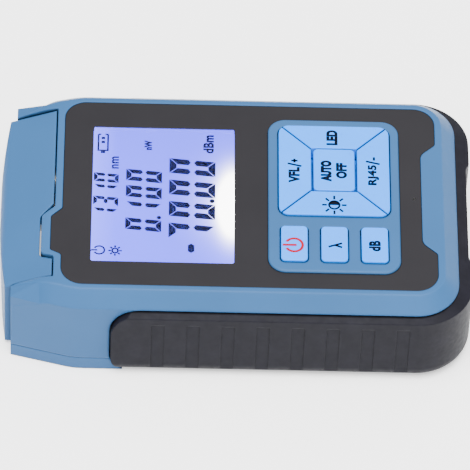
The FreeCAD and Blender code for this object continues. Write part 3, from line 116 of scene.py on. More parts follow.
class Finish:
    """A procedural material that is put together node by node."""

    worn_turn = 0.72  # dot product of the two normals at which an edge counts as fully worn
    open_light = (0.3, 0.75)  # share of light in a shut seam and on an open face

    def __init__(self, name, **sockets):
        self.material = bpy.data.materials.new(name)
        self.material.use_nodes = True
        self.tree = self.material.node_tree
        self.tree.nodes.clear()
        self.output = self.tree.nodes.new("ShaderNodeOutputMaterial")
        self.shader = self.tree.nodes.new("ShaderNodeBsdfPrincipled")
        self.tree.links.new(self.shader.outputs["BSDF"], self.output.inputs["Surface"])
        self.set(**sockets)
        self.place = self.tree.nodes.new("ShaderNodeTexCoord").outputs["Object"]

    def set(self, **sockets):
        """Set the shader's own sockets, named with underscores for spaces."""
        for name, value in sockets.items():
            if isinstance(value, tuple) and len(value) == 3:
                value = (*value, 1.0)
            self.shader.inputs[name.replace("_", " ")].default_value = value

    def node(self, kind, inputs=None, **settings):
        """A node with its settings, and its sockets set or linked."""
        node = self.tree.nodes.new(f"ShaderNode{kind}")
        for name, value in settings.items():
            setattr(node, name, value)
        for name, value in (inputs or {}).items():
            if isinstance(value, bpy.types.NodeSocket):
                self.tree.links.new(value, node.inputs[name])
            else:
                node.inputs[name].default_value = value
        return node

    def link(self, output, socket):
        """Feed one of the shader's sockets."""
        self.tree.links.new(output, self.shader.inputs[socket])

    def noise(self, scale, detail=2.0, roughness=0.5):
        """Fine random pattern; scale is in features per metre."""
        return self.node("TexNoise", {"Vector": self.place, "Scale": scale, "Detail": detail,
                                      "Roughness": roughness}).outputs["Fac"]

    def remap(self, value, low, high, to_low, to_high):
        """A value stretched from one range to another."""
        return self.node("MapRange", {"Value": value, "From Min": low, "From Max": high,
                                      "To Min": to_low, "To Max": to_high}).outputs["Result"]

    def blend(self, factor, first, second, mode="MIX"):
        """A mix of two colours; each is a colour or a socket."""
        node = self.node("Mix", data_type="RGBA", blend_type=mode)
        for index, value in ((0, factor), (6, first), (7, second)):
            if isinstance(value, bpy.types.NodeSocket):
                self.tree.links.new(value, node.inputs[index])
            elif index == 0:
                node.inputs[index].default_value = value
            else:
                node.inputs[index].default_value = (*value, 1.0)
        return node.outputs[2]

    def mottle(self, scale, detail, low=0.0, high=1.0):
        """Noise spread evenly between two values."""
        return self.remap(self.noise(scale, detail), *NOISE_RANGE, low, high)

    def clouded(self, colour, scale, detail, dark, light):
        """The colour in soft patches, between a darker and a lighter tint of it."""
        return self.blend(self.mottle(scale, detail), tint(colour, dark), tint(colour, light))

    def axis(self, name):
        """One coordinate of the surface point, in metres."""
        return self.node("SeparateXYZ", {"Vector": self.place}).outputs[name]

    def math(self, operation, first, second=0.0):
        """One arithmetic step."""
        return self.node("Math", {0: first, 1: second}, operation=operation).outputs[0]

    def edges(self, radius):
        """Softened normal near sharp edges, and how far it turns from the flat one."""
        soft = self.node("Bevel", {"Radius": radius}, samples=4).outputs["Normal"]
        flat = self.node("NewGeometry").outputs["Normal"]
        turn = self.node("VectorMath", {0: soft, 1: flat}, operation="DOT_PRODUCT")
        return soft, self.remap(turn.outputs["Value"], 1.0, self.worn_turn, 0.0, 1.0)

    def painted_seam_shade(self, colour, reach=1.1 * MM, depth=0.12):
        """The colour with painted shade, darker down in the seams between pieces where ambient
        occlusion finds other surfaces near.
        """
        # painted shade: ambient occlusion darkens the colour in seams and gaps
        light = self.node("AmbientOcclusion", {"Distance": reach}, samples=6).outputs["AO"]
        shade = self.remap(light, *self.open_light, depth, 1.0)
        return self.blend(1.0, colour, shade, mode="MULTIPLY")

    def relief(self, height, strength, distance, normal=None):
        """Bump from a height pattern."""
        inputs = {"Height": height, "Strength": strength, "Distance": distance}
        if normal is not None:
            inputs["Normal"] = normal
        self.link(self.node("Bump", inputs).outputs["Normal"], "Normal")


def moulded_plastic(name, colour, roughness, soften=0.8 * MM, worn=1.35):
    """Spark-eroded moulded plastic: fine grain, faint clouding, edges polished by handling, and
    painted shade in its seams.
    """
    finish = Finish(name, IOR=1.49, Specular_IOR_Level=0.12)
    soft, worn_edge = finish.edges(soften)
    base = finish.clouded(colour, 38, 3.0, dark=0.95, light=1.05)
    # painted shade: the base colour is darkened in the seams between pieces
    finish.link(finish.painted_seam_shade(finish.blend(worn_edge, base, tint(colour, worn))), "Base Color")
    rough = finish.mottle(620, 3.0, roughness - 0.05, roughness + 0.05)
    polish = finish.math("MULTIPLY", worn_edge, 0.08)
    finish.link(finish.math("SUBTRACT", rough, polish), "Roughness")
    finish.relief(finish.noise(4200, 2.0), 0.35, 0.012 * MM, soft)
    return finish.material


def rubber(name, colour):
    """Soft-touch rubber: dull, faintly dusty, with a fine even grain and painted shade in its
    grooves.
    """
    finish = Finish(name, IOR=1.5, Specular_IOR_Level=0.08)
    soft, worn_edge = finish.edges(0.6 * MM)
    dust = finish.remap(finish.noise(260, 4.0, 0.6), 0.42, 0.72, 0.0, 1.0)
    base = finish.blend(dust, tint(colour, 0.9), tint(colour, 1.25))
    base = finish.blend(worn_edge, base, tint(colour, 1.6))
    # painted shade: darker in the grooves and seams of the boot
    finish.link(finish.painted_seam_shade(base, 0.9 * MM, 0.1), "Base Color")
    finish.link(finish.mottle(900, 3.0, 0.44, 0.56), "Roughness")
    finish.relief(finish.noise(5200, 1.5), 0.4, 0.016 * MM, soft)
    return finish.material


def printed_panel(name, colour):
    """Matt hard-coated sheet, printed dark on its back."""
    finish = Finish(name, IOR=1.5, Specular_IOR_Level=0.15)
    soft, worn_edge = finish.edges(0.15 * MM)
    base = finish.clouded(colour, 55, 4.0, dark=0.93, light=1.07)
    finish.link(finish.blend(worn_edge, base, tint(colour, 1.5)), "Base Color")
    finish.link(finish.mottle(1500, 2.0, 0.42, 0.5), "Roughness")
    finish.relief(finish.noise(6500, 1.0), 0.3, 0.006 * MM, soft)
    return finish.material


def silicone(name, colour):
    """Smooth satin key top that lets a little light in, with painted shade in the gaps round it.
    """
    finish = Finish(name, IOR=1.45, Subsurface_Weight=0.08, Subsurface_Scale=0.001,
                    Specular_IOR_Level=0.15)
    soft, worn_edge = finish.edges(0.25 * MM)
    base = finish.clouded(colour, 90, 3.0, dark=0.97, light=1.03)
    base = finish.blend(worn_edge, base, tint(colour, 1.15))
    # painted shade: darker in the gaps round the keys
    finish.link(finish.painted_seam_shade(base, 0.8 * MM, 0.3), "Base Color")
    finish.link(finish.mottle(800, 2.0, 0.38, 0.46), "Roughness")
    finish.relief(finish.noise(4800, 1.0), 0.25, 0.006 * MM, soft)
    return finish.material


def print_ink(name, colour):
    """Thin pad-printed ink with slightly uneven cover."""
    finish = Finish(name, Roughness=0.6, Specular_IOR_Level=0.06)
    finish.link(finish.clouded(colour, 2600, 3.0, dark=0.85, light=1.2), "Base Color")
    return finish.material


def clear_plastic(name, colour=WHITE, roughness=0.02, index=1.49):
    """Clear moulded acrylic with a hint of waviness."""
    finish = Finish(name, Base_Color=colour, Roughness=roughness, IOR=index,
                    Transmission_Weight=1.0)
    finish.relief(finish.noise(70, 1.0), 0.08, 0.01 * MM)
    return finish.material


def lit_glass(name, colour):
    """Lit liquid crystal glass: brightest where the backlight's lamp sits, at the lower edge."""
    finish = Finish(name, Base_Color=tint(colour, 0.02), Roughness=0.3, Specular_IOR_Level=0.1)
    even_light, core_light, halo_light = 4.4, 20.0, 1.7
    white_from = 4.0  # added light at which the lamp's own white takes over
    low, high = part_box("lcd_window")
    lamp = Vector((low.x + 0.45 * (high.x - low.x), low.y, 0.0))

    def glow(across, along):
        """Light that falls off round the lamp, over these distances in X and Y."""
        square = 0.0
        for axis, middle, reach in (("X", lamp.x, across), ("Y", lamp.y, along)):
            offset = finish.math("SUBTRACT", finish.axis(axis), middle)
            share = finish.math("DIVIDE", offset, reach)
            square = finish.math("ADD", square, finish.math("MULTIPLY", share, share))
        return finish.math("EXPONENT", finish.math("MULTIPLY", square, -1.0))

    core, halo = glow(8.0 * MM, 3.1 * MM), glow(11.0 * MM, 8.0 * MM)
    sheen = finish.remap(finish.noise(45, 2.0), 0.25, 0.75, 0.0, 1.0)
    even = finish.blend(sheen, tint(colour, 0.94), tint(colour, 1.06))
    dim = finish.remap(finish.axis("X"), lamp.x, high.x, 0.0, 1.0)
    even = finish.blend(dim, even, tint(colour, 0.88))
    edge = finish.remap(finish.axis("Y"), high.y - 6.0 * MM, high.y, 0.0, 1.0)
    even = finish.blend(edge, even, tint(colour, 1.5))
    added = finish.math("ADD", finish.math("MULTIPLY", core, core_light),
                        finish.math("MULTIPLY", halo, halo_light))
    white = finish.remap(added, 0.0, white_from, 0.0, 1.0)
    finish.link(finish.blend(white, even, WHITE), "Emission Color")
    finish.link(finish.math("ADD", added, even_light), "Emission Strength")
    return finish.material


def metal(name, colour, roughness, lines=True):
    """Plated or turned metal with painted shade in its hollows, and fine turning marks along Y if
    asked.
    """
    finish = Finish(name, Metallic=1.0)
    base = finish.clouded(colour, 300, 4.0, dark=0.9, light=1.05)
    # painted shade: darker down in the hollows round the ports, reaching 3 mm
    finish.link(finish.painted_seam_shade(base, 3.0 * MM, 0.1), "Base Color")
    finish.link(finish.mottle(1400, 2.0, roughness - 0.05, roughness + 0.08), "Roughness")
    if lines:
        waves = finish.node("TexWave", {"Vector": finish.place, "Scale": 2400.0,
                                        "Distortion": 0.6}, bands_direction="Y")
        marks = waves.outputs["Fac"]
        finish.relief(marks, 0.12, 0.004 * MM)
    return finish.material


def circuit_board(name):
    """Green solder mask with a faint maze of tracks."""
    finish = Finish(name, Roughness=0.32, Coat_Weight=0.3)
    tracks = finish.node("TexBrick", {"Vector": finish.place, "Scale": 190.0, "Mortar Size": 0.02},
                         offset=0.37).outputs["Fac"]
    clouds = finish.noise(420, 3.0)
    green = finish.blend(clouds, (0.004, 0.075, 0.028), (0.006, 0.105, 0.04))
    finish.link(finish.blend(tracks, green, (0.02, 0.19, 0.07)), "Base Color")
    finish.relief(tracks, 0.3, 0.03 * MM)
    return finish.material


def battery_jacket(name):
    """Alkaline cell: dark jacket with a copper band and bare steel ends."""
    finish = Finish(name, Metallic=0.85)
    low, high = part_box("batteries")
    place = finish.math("DIVIDE", finish.math("SUBTRACT", finish.axis("Y"), low.y), high.y - low.y)
    ramp = finish.node("ValToRGB", {"Fac": place})
    stops = ((0.0, (0.55, 0.55, 0.57)), (0.035, (0.012, 0.012, 0.014)), (0.66, (0.42, 0.17, 0.06)),
             (0.965, (0.55, 0.55, 0.57)))
    ramp.color_ramp.interpolation = "CONSTANT"
    while len(ramp.color_ramp.elements) < len(stops):
        ramp.color_ramp.elements.new(0.5)
    for element, (position, colour) in zip(ramp.color_ramp.elements, stops):
        element.position = position
        element.color = (*colour, 1.0)
    scuffs = finish.remap(finish.noise(700, 5.0), 0.55, 0.75, 0.0, 0.25)
    finish.link(finish.blend(scuffs, ramp.outputs["Color"], (0.5, 0.5, 0.52)), "Base Color")
    finish.link(finish.mottle(900, 2.0, 0.24, 0.36), "Roughness")
    return finish.material


def put_on(material, *nodes):
    """Give CAD solids a finish; their shapes stay as they are."""
    for name in nodes:
        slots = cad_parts[name].data.materials
        slots.clear()
        slots.append(material)


# ---------------------------------------------------------------- modelling helpers
def deselect():
    """Nothing selected and nothing in edit mode."""
    if bpy.context.object and bpy.context.object.mode != "OBJECT":
        bpy.ops.object.mode_set(mode="OBJECT")
    bpy.ops.object.select_all(action="DESELECT")


def only(piece):
    """Make one object the only selected and active one."""
    deselect()
    piece.select_set(True)
    bpy.context.view_layer.objects.active = piece
    return piece


@contextmanager
def editing(piece):
    """Edit mode on one piece with all of it selected, and back to object mode after."""
    only(piece)
    bpy.ops.object.mode_set(mode="EDIT")
    bpy.ops.mesh.select_all(action="SELECT")
    yield
    bpy.ops.object.mode_set(mode="OBJECT")


def join(pieces, name):
    """Several meshes as one piece with its place in its mesh."""
    deselect()
    for piece in pieces:
        piece.select_set(True)
    bpy.context.view_layer.objects.active = pieces[0]
    if len(pieces) > 1:
        bpy.ops.object.join()
    joined = bpy.context.object
    joined.name = joined.data.name = name
    return settle(joined)


def settle(piece):
    """Move the object's place into its mesh, and turn its faces outwards."""
    only(piece)
    bpy.ops.object.transform_apply(location=True, rotation=True, scale=True)
    with editing(piece):
        bpy.ops.mesh.normals_make_consistent(inside=False)
    return piece


def dress(piece, body, material):
    """Finish, body and material slot of a new piece."""
    piece.data.materials.clear()
    piece.data.materials.append(material)
    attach(piece, body)
    return piece


def thicken(piece, thickness):
    """Give a flat print its thickness, upwards."""
    with editing(piece):
        bpy.ops.mesh.normals_make_consistent(inside=False)
        bpy.ops.mesh.extrude_region_move(TRANSFORM_OT_translate={"value": (0, 0, thickness)})
        bpy.ops.mesh.select_all(action="SELECT")
        bpy.ops.mesh.normals_make_consistent(inside=False)
    return piece


def flat_bar(x, y, z, length, width, turn=0.0):
    """A thin bar lying in the face's plane, its middle at (x, y)."""
    deselect()
    bpy.ops.mesh.primitive_plane_add(size=1, location=(x, y, z), rotation=(0, 0, turn))
    bar = bpy.context.object
    bar.scale = (length, width, 1)
    bpy.ops.object.transform_apply(location=True, rotation=True, scale=True)
    return bar


def flat_ring(x, y, z, radius, stroke, start=0.0, sweep=360.0, steps=48):
    """A flat ring or arc: one edge across the stroke, spun round the middle."""
    deselect()
    bpy.ops.mesh.primitive_plane_add(size=1, location=(0, 0, 0))
    ring = bpy.context.object
    with editing(ring):
        work = bmesh.from_edit_mesh(ring.data)
        bmesh.ops.delete(work, geom=[v for v in work.verts if v.co.y > 0], context="VERTS")
        for vertex in work.verts:
            reach = radius + (stroke / 2 if vertex.co.x > 0 else -stroke / 2)
            vertex.co = Vector((reach * math.cos(start), reach * math.sin(start), 0))
            vertex.select_set(True)
        work.select_flush(True)
        bmesh.update_edit_mesh(ring.data)
        bpy.ops.mesh.select_all(action="SELECT")
        bpy.ops.mesh.spin(steps=steps, angle=-math.radians(sweep), center=(0, 0, 0),
                          axis=(0, 0, 1))
        bpy.ops.mesh.select_all(action="SELECT")
        bpy.ops.mesh.remove_doubles(threshold=MERGE)
    ring.location = (x, y, z)
    bpy.ops.object.transform_apply(location=True, rotation=True, scale=True)
    return ring


def flat_disc(x, y, z, radius):
    """A flat disc."""
    deselect()
    bpy.ops.mesh.primitive_circle_add(vertices=40, radius=radius, fill_type="NGON",
                                      location=(x, y, z))
    disc = bpy.context.object
    bpy.ops.object.transform_apply(location=True, rotation=True, scale=True)
    return disc


def flat_stroke(x0, y0, x1, y1, z, width):
    """A flat bar from one point to another."""
    return flat_bar((x0 + x1) / 2, (y0 + y1) / 2, z, math.hypot(x1 - x0, y1 - y0), width,
                    math.atan2(y1 - y0, x1 - x0))


def lettering(words, x, y, z, width, height, stroke):
    """Words as a flat mesh that fills the given width and height about (x, y)."""
    deselect()
    bpy.ops.object.text_add(location=(0, 0, 0))
    text = bpy.context.object
    text.data.body = words
    text.data.size = 1.0
    text.data.resolution_u = 6
    text.data.space_character = 1.06
    bpy.context.view_layer.update()
    squeeze = width / text.dimensions.x
    text.data.offset = (stroke / squeeze - FONT_STEM) / 2
    only(text)
    bpy.ops.object.convert(target="MESH")
    mesh = bpy.context.object
    corners = [vertex.co for vertex in mesh.data.vertices]
    low = Vector((min(c.x for c in corners), min(c.y for c in corners), 0))
    high = Vector((max(c.x for c in corners), max(c.y for c in corners), 0))
    middle = (low + high) / 2
    mesh.data.transform(
        Matrix.Translation((x, y, z))
        @ Matrix.Diagonal((width / (high.x - low.x), height / (high.y - low.y), 1, 1))
        @ Matrix.Translation(-middle))
    return mesh


# ---------------------------------------------------------------- display
LIT = {"0": "abcdef", "1": "bc", "3": "abcdg", "7": "abc"}
TIP_SLOPE = 0.7  # slant of a pointed end
TIP_SETBACK = 0.22  # how far an upright's point stays from the digit's middle, in strokes
SIGN_LINE = 0.43 * MM  # line width of the signs on the glass


def trimmed_bar(x, y, length, width, cuts):
    """A flat bar with what lies beyond each cut taken off; a cut is a point and a way out."""
    bar = flat_bar(x, y, 0.0, length, width)
    with editing(bar):
        for point, outward in cuts:
            bpy.ops.mesh.select_all(action="SELECT")
            bpy.ops.mesh.bisect(plane_co=(*point, 0), plane_no=(*outward, 0), clear_outer=True)
    return bar


def level_segment(up, width, height, stroke, gap):
    """Segment a or d: mitred at both ends, its long side outwards."""
    slip = gap / math.sqrt(8)
    cuts = [((side * (width / 2 - slip), up * (height / 2 - slip)), (side, -up))
            for side in (-1, 1)]
    return trimmed_bar(0, up * (height - stroke) / 2, width, stroke, cuts)


def middle_segment(width, stroke, gap):
    """Segment g: pointed at both ends."""
    tip = (width - stroke - gap) / 2
    cuts = [((side * tip, 0), (side, up * TIP_SLOPE)) for side in (-1, 1) for up in (-1, 1)]
    return trimmed_bar(0, 0, width, stroke, cuts)


def upright_segment(side, up, width, height, stroke, gap):
    """Segment b, c, e or f: mitred at the digit's corner and pointed at its middle."""
    slip = gap / math.sqrt(8)
    line = side * (width - stroke) / 2
    cuts = [((side * (width / 2 + slip), up * (height / 2 - slip)), (-side, up))]
    cuts += [((line, up * stroke * TIP_SETBACK), (way * TIP_SLOPE, -up)) for way in (-1, 1)]
    return trimmed_bar(line, up * height / 4, stroke, height / 2, cuts)


def digit(figure, x, y, z, width, height, stroke, gap, lean):
    """The lit segments of one figure, leaning and in place."""
    uprights = {"b": (1, 1), "c": (1, -1), "e": (-1, -1), "f": (-1, 1)}
    parts = []
    for name in LIT[figure]:
        if name == "g":
            parts.append(middle_segment(width, stroke, gap))
        elif name in uprights:
            parts.append(upright_segment(*uprights[name], width, height, stroke, gap))
        else:
            parts.append(level_segment(1 if name == "a" else -1, width, height, stroke, gap))
    shape = join(parts, f"figure_{figure}")
    slope = Matrix.Identity(4)
    slope[0][1] = math.tan(lean)
    shape.data.transform(Matrix.Translation((x, y, z)) @ slope)
    return shape


class METER_OT_display(bpy.types.Operator):
    """Lit glass of the display and the digits it shows"""

    bl_idname = "meter.display"
    bl_label = "Display digits"

    # figures from the right, with the middle of the first, the pitch and the digit's size
    rows = (
        ("0131", 5.92, 33.27, 3.97, 2.95, 6.35, 0.98),
        ("0010", 6.73, 23.62, 5.50, 3.85, 9.15, 1.38),
        ("0007", 9.98, 11.30, 7.29, 5.0, 11.8, 1.85),
    )
    minus = (-17.3, 11.42, 3.1, 1.65)
    points = ((-1.29, 6.2, 0.68), (-7.25, 19.67, 0.56))

    def execute(self, context):
        colours, sizes = context.scene.meter_colours, context.scene.meter_sizes
        put_on(lit_glass("lit_display_glass", tuple(colours.backlight)), "lcd_cell")
        z = GLASS_TOP + INK_LIFT
        parts = []
        for figures, x, y, pitch, width, height, stroke in self.rows:
            for index, figure in enumerate(figures):
                parts.append(digit(figure, (x - pitch * index) * MM, y * MM, z, width * MM,
                                   height * MM, stroke * MM, sizes.segment_gap,
                                   sizes.digit_lean))
        x, y, length, width = (value * MM for value in self.minus)
        sign = middle_segment(length + width, width, 0.0)
        sign.data.transform(Matrix.Translation((x, y, z)))
        parts.append(sign)
        parts += [flat_disc(x * MM, y * MM, z, radius * MM) for x, y, radius in self.points]
        digits = thicken(join(parts, "display_digits"), INK_LIFT)
        dress(digits, "housing", print_ink("segment_ink", tuple(colours.segment)))
        return {"FINISHED"}


class METER_OT_display_signs(bpy.types.Operator):
    """Units and state signs on the display"""

    bl_idname = "meter.display_signs"
    bl_label = "Display signs"

    # unit, its middle, width and height in mm, and its stroke in lines
    units = (
        ("nm", 11.13, 31.04, 4.15, 1.8, 1.0),
        ("nW", 17.33, 22.70, 3.3, 1.97, 1.0),
        ("dBm", 18.10, 7.22, 6.25, 2.7, 1.25),
    )

    def execute(self, context):
        z, line = GLASS_TOP + INK_LIFT, SIGN_LINE
        parts = [lettering(unit, x * MM, y * MM, z, width * MM, height * MM, line * weight)
                 for unit, x, y, width, height, weight in self.units]
        parts += self.battery_sign(18.0 * MM, 34.27 * MM, z, 5.5 * MM, 2.45 * MM, line)
        parts += power_sign(-18.5 * MM, 34.6 * MM, z, 1.32 * MM, line, 0.35, 1.72)
        parts += sun_sign(-18.6 * MM, 30.6 * MM, z, 0.74 * MM, line, 1.05 * MM, 1.7 * MM)
        signs = thicken(join(parts, "display_signs"), INK_LIFT)
        dress(signs, "housing", bpy.data.materials["segment_ink"])
        return {"FINISHED"}

    def battery_sign(self, x, y, z, length, height, line):
        """Outline of a cell with a gap in its right end and two bars in it; its nub is left."""
        left, right = x - length / 2, x + length / 2
        bars = [flat_bar(x, y + side * height / 2, z, length, line) for side in (-1, 1)]
        bars.append(flat_bar(left, y, z, line, height + line))
        bars.append(flat_bar(left - 1.4 * line, y, z, line * 1.6, height * 0.45))
        for side in (-1, 1):
            bars.append(flat_bar(right, y + side * height * 0.36, z, line, height * 0.3))
        for place in (0.23, 0.48):
            bars.append(flat_bar(right - length * place, y, z, length * 0.14, height * 0.36))
        return bars


def power_sign(x, y, z, radius, stroke, line_from, line_to):
    """Ring with a line through the gap at its top; the line's ends are shares of the radius."""
    gap = 58  # degrees
    ring = flat_ring(x, y, z, radius, stroke, start=math.radians(90 + gap / 2), sweep=360 - gap)
    line = flat_bar(x, y + radius * (line_from + line_to) / 2, z, stroke,
                    radius * (line_to - line_from))
    return [ring, line]


def sun_sign(x, y, z, radius, stroke, ray_from, ray_to):
    """Ring with eight rays."""
    parts = [flat_ring(x, y, z, radius, stroke)]
    reach = (ray_from + ray_to) / 2
    for degrees in range(0, 360, 45):
        angle = math.radians(degrees)
        parts.append(flat_bar(x + reach * math.cos(angle), y + reach * math.sin(angle), z,
                              ray_to - ray_from, stroke, angle))
    return parts


# ---------------------------------------------------------------- keys
class METER_OT_keys(bpy.types.Operator):
    """Satin sky-blue finish of the eight keys"""

    bl_idname = "meter.keys"
    bl_label = "Keys"

    def execute(self, context):
        material = silicone("key_silicone", tuple(context.scene.meter_colours.key))
        put_on(material, *[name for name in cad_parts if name.startswith("key_")
                           and name != "key_switches"])
        return {"FINISHED"}


class METER_OT_key_legends(bpy.types.Operator):
    """Function words printed on the keys"""

    bl_idname = "meter.key_legends"
    bl_label = "Key legends"

    # key, its words with their middle, width and height, and its strokes from end to end, in mm
    legends = (
        ("key_led", (("LED", 19.29, -24.40, 5.1, 2.85),), ()),
        ("key_vfl_plus", (("VFL", 6.31, -14.63, 5.25, 2.85),),
         ((9.27, -16.50, 10.17, -13.00), (10.50, -14.72, 11.76, -14.72),
          (11.13, -15.54, 11.13, -13.90))),
        ("key_rj45_minus", (("RJ45", 6.74, -34.89, 6.83, 2.85),),
         ((10.50, -36.55, 11.40, -33.05), (11.74, -35.09, 12.84, -35.09))),
        ("key_auto_off", (("AUTO", 7.83, -22.81, 7.1, 2.8), ("OFF", 8.02, -26.73, 5.25, 2.8)), ()),
        ("key_wavelength", (),
         ((-17.74, -23.20, -16.49, -26.60), (-17.20, -24.90, -17.87, -26.60))),
        ("key_db", (("dB", -17.15, -34.89, 3.5, 2.95),), ()),
    )
    line_share = 0.95  # width of a slash, plus or minus, in strokes of the words

    def execute(self, context):
        ink = print_ink("legend_ink", tuple(context.scene.meter_colours.ink))
        stroke = context.scene.meter_sizes.letter_stroke
        z = KEY_TOP + INK_LIFT / 2
        for key, words, strokes in self.legends:
            parts = [lettering(word, *(value * MM for value in place[:2]), z,
                               *(value * MM for value in place[2:]), stroke)
                     for word, *place in words]
            parts += [flat_stroke(*(value * MM for value in ends), z, stroke * self.line_share)
                      for ends in strokes]
            legend = thicken(join(parts, key.replace("key_", "legend_")), INK_LIFT)
            dress(legend, key, ink)
        return {"FINISHED"}


class METER_OT_key_symbols(bpy.types.Operator):
    """Power and backlight signs printed on their keys"""

    bl_idname = "meter.key_symbols"
    bl_label = "Key signs"

    def execute(self, context):
        colours, stroke = context.scene.meter_colours, context.scene.meter_sizes.symbol_stroke
        z = KEY_TOP + INK_LIFT / 2
        parts = power_sign(-17.37 * MM, -14.51 * MM, z, 2.15 * MM, stroke * 1.2, -0.3, 1.36)
        power = thicken(join(parts, "legend_power"), INK_LIFT)
        dress(power, "key_power", print_ink("power_ink", tuple(colours.power_ink)))
        sun_x, sun_y = -3.68 * MM, -24.79 * MM
        parts = sun_sign(sun_x, sun_y, z, 1.32 * MM, stroke * 0.9, 1.9 * MM, 3.1 * MM)
        parts.append(self.half_disc(sun_x, sun_y, z, 1.25 * MM))
        sun = thicken(join(parts, "legend_backlight"), INK_LIFT)
        dress(sun, "key_backlight", bpy.data.materials["legend_ink"])
        return {"FINISHED"}

    def half_disc(self, x, y, z, radius):
        """Dark half of the backlight sign."""
        disc = flat_disc(x, y, z, radius)
        with editing(disc):
            bpy.ops.mesh.bisect(plane_co=(x, y, z), plane_no=(-1, 0, 0), clear_outer=True)
        return disc


# ---------------------------------------------------------------- casing and face
class METER_OT_casing(bpy.types.Operator):
    """Blue moulded plastic of the shells, the dust cover and the battery door"""

    bl_idname = "meter.casing"
    bl_label = "Casing"

    def execute(self, context):
        colour = tuple(context.scene.meter_colours.casing)
        material = moulded_plastic("casing_plastic", colour, 0.42)
        put_on(material, "front_shell", "rear_shell", "flip_cover", "battery_door")
        return {"FINISHED"}


class METER_OT_cheek_ridges(bpy.types.Operator):
    """Corners of the two cheeks beside the dust cover, where the slope round the face runs out"""

    bl_idname = "meter.cheek_ridges"
    bl_label = "Cheek corners"

    # corner of the cheek's end, how far its slope has come in and down there, and where it starts
    corner = (31.8, 56.6, 22.68)
    inset, drop = 3.4, 3.62
    starts = ((29.83, 49.45, 26.28), (33.68, 49.25, 22.39))

    def execute(self, context):
        ridges = [self.ridge(side) for side in (-1, 1)]
        colour = tuple(context.scene.meter_colours.casing)
        dress(join(ridges, "cheek_ridges"), "housing",
              moulded_plastic("cheek_plastic", colour, 0.42, soften=0.02 * MM, worn=1.0))
        return {"FINISHED"}

    def ridge(self, side):
        """A three-sided bar from the corner to the slope's start, where it narrows to a line."""
        x, y, z = self.corner
        end = (self.corner, (x - self.inset, y, z), (x, y, z - self.drop))
        inner, lower = self.starts
        start = (lower, inner, lower)
        deselect()
        bpy.ops.mesh.primitive_cylinder_add(vertices=3, radius=MM, depth=MM)
        ridge = bpy.context.object
        for index, vertex in enumerate(ridge.data.vertices):
            place = (start if vertex.co.z > 0 else end)[index // 2]
            vertex.co = Vector((place[0] * side, place[1], place[2])) * MM
        with editing(ridge):
            bpy.ops.mesh.remove_doubles(threshold=MERGE)
        return ridge


class METER_OT_grip(bpy.types.Operator):
    """Charcoal rubber of the grip boot"""

    bl_idname = "meter.grip"
    bl_label = "Grip boot"

    def execute(self, context):
        put_on(rubber("grip_rubber", tuple(context.scene.meter_colours.grip)), "grip_boot")
        return {"FINISHED"}


class METER_OT_face(bpy.types.Operator):
    """Dark face panel, the display's window and the indicator"""

    bl_idname = "meter.face"
    bl_label = "Face panel and window"

    def execute(self, context):
        put_on(printed_panel("face_sheet", tuple(context.scene.meter_colours.panel)), "face_panel")
        put_on(clear_plastic("window_acrylic", index=1.2), "lcd_window")
        put_on(clear_plastic("light_pipe_acrylic", (0.85, 0.87, 0.9), 0.35),
               "indicator_light_pipe", "indicator_lamp")
        put_on(moulded_plastic("diffuser_white", (0.75, 0.76, 0.8), 0.5), "lcd_backlight")
        return {"FINISHED"}


# ---------------------------------------------------------------- ports and insides
class METER_OT_ports(bpy.types.Operator):
    """Plated port sleeves, the torch and the network jack"""

    bl_idname = "meter.ports"
    bl_label = "Ports"

    def execute(self, context):
        nickel = metal("port_nickel", (0.42, 0.41, 0.385), 0.32)
        put_on(nickel, "power_meter_adapter", "laser_port", "photodiode")
        put_on(metal("laser_brass", (0.72, 0.52, 0.22), 0.3), "laser_module")
        put_on(clear_plastic("torch_acrylic", (0.97, 0.98, 1.0), 0.05), "torch_lens")
        put_on(clear_plastic("lamp_epoxy", (0.95, 0.93, 0.80), 0.12), "torch_led")
        put_on(moulded_plastic("jack_plastic", (0.012, 0.012, 0.013), 0.4), "rj45_jack")
        put_on(metal("contact_gold", (0.78, 0.56, 0.22), 0.2, lines=False), "rj45_contacts")
        return {"FINISHED"}


class METER_OT_boards(bpy.types.Operator):
    """Circuit board, its chips and the key switches"""

    bl_idname = "meter.boards"
    bl_label = "Boards"

    def execute(self, context):
        put_on(circuit_board("solder_mask"), "main_board")
        put_on(moulded_plastic("chip_epoxy", (0.016, 0.016, 0.017), 0.45), "board_components",
               "key_switches")
        return {"FINISHED"}


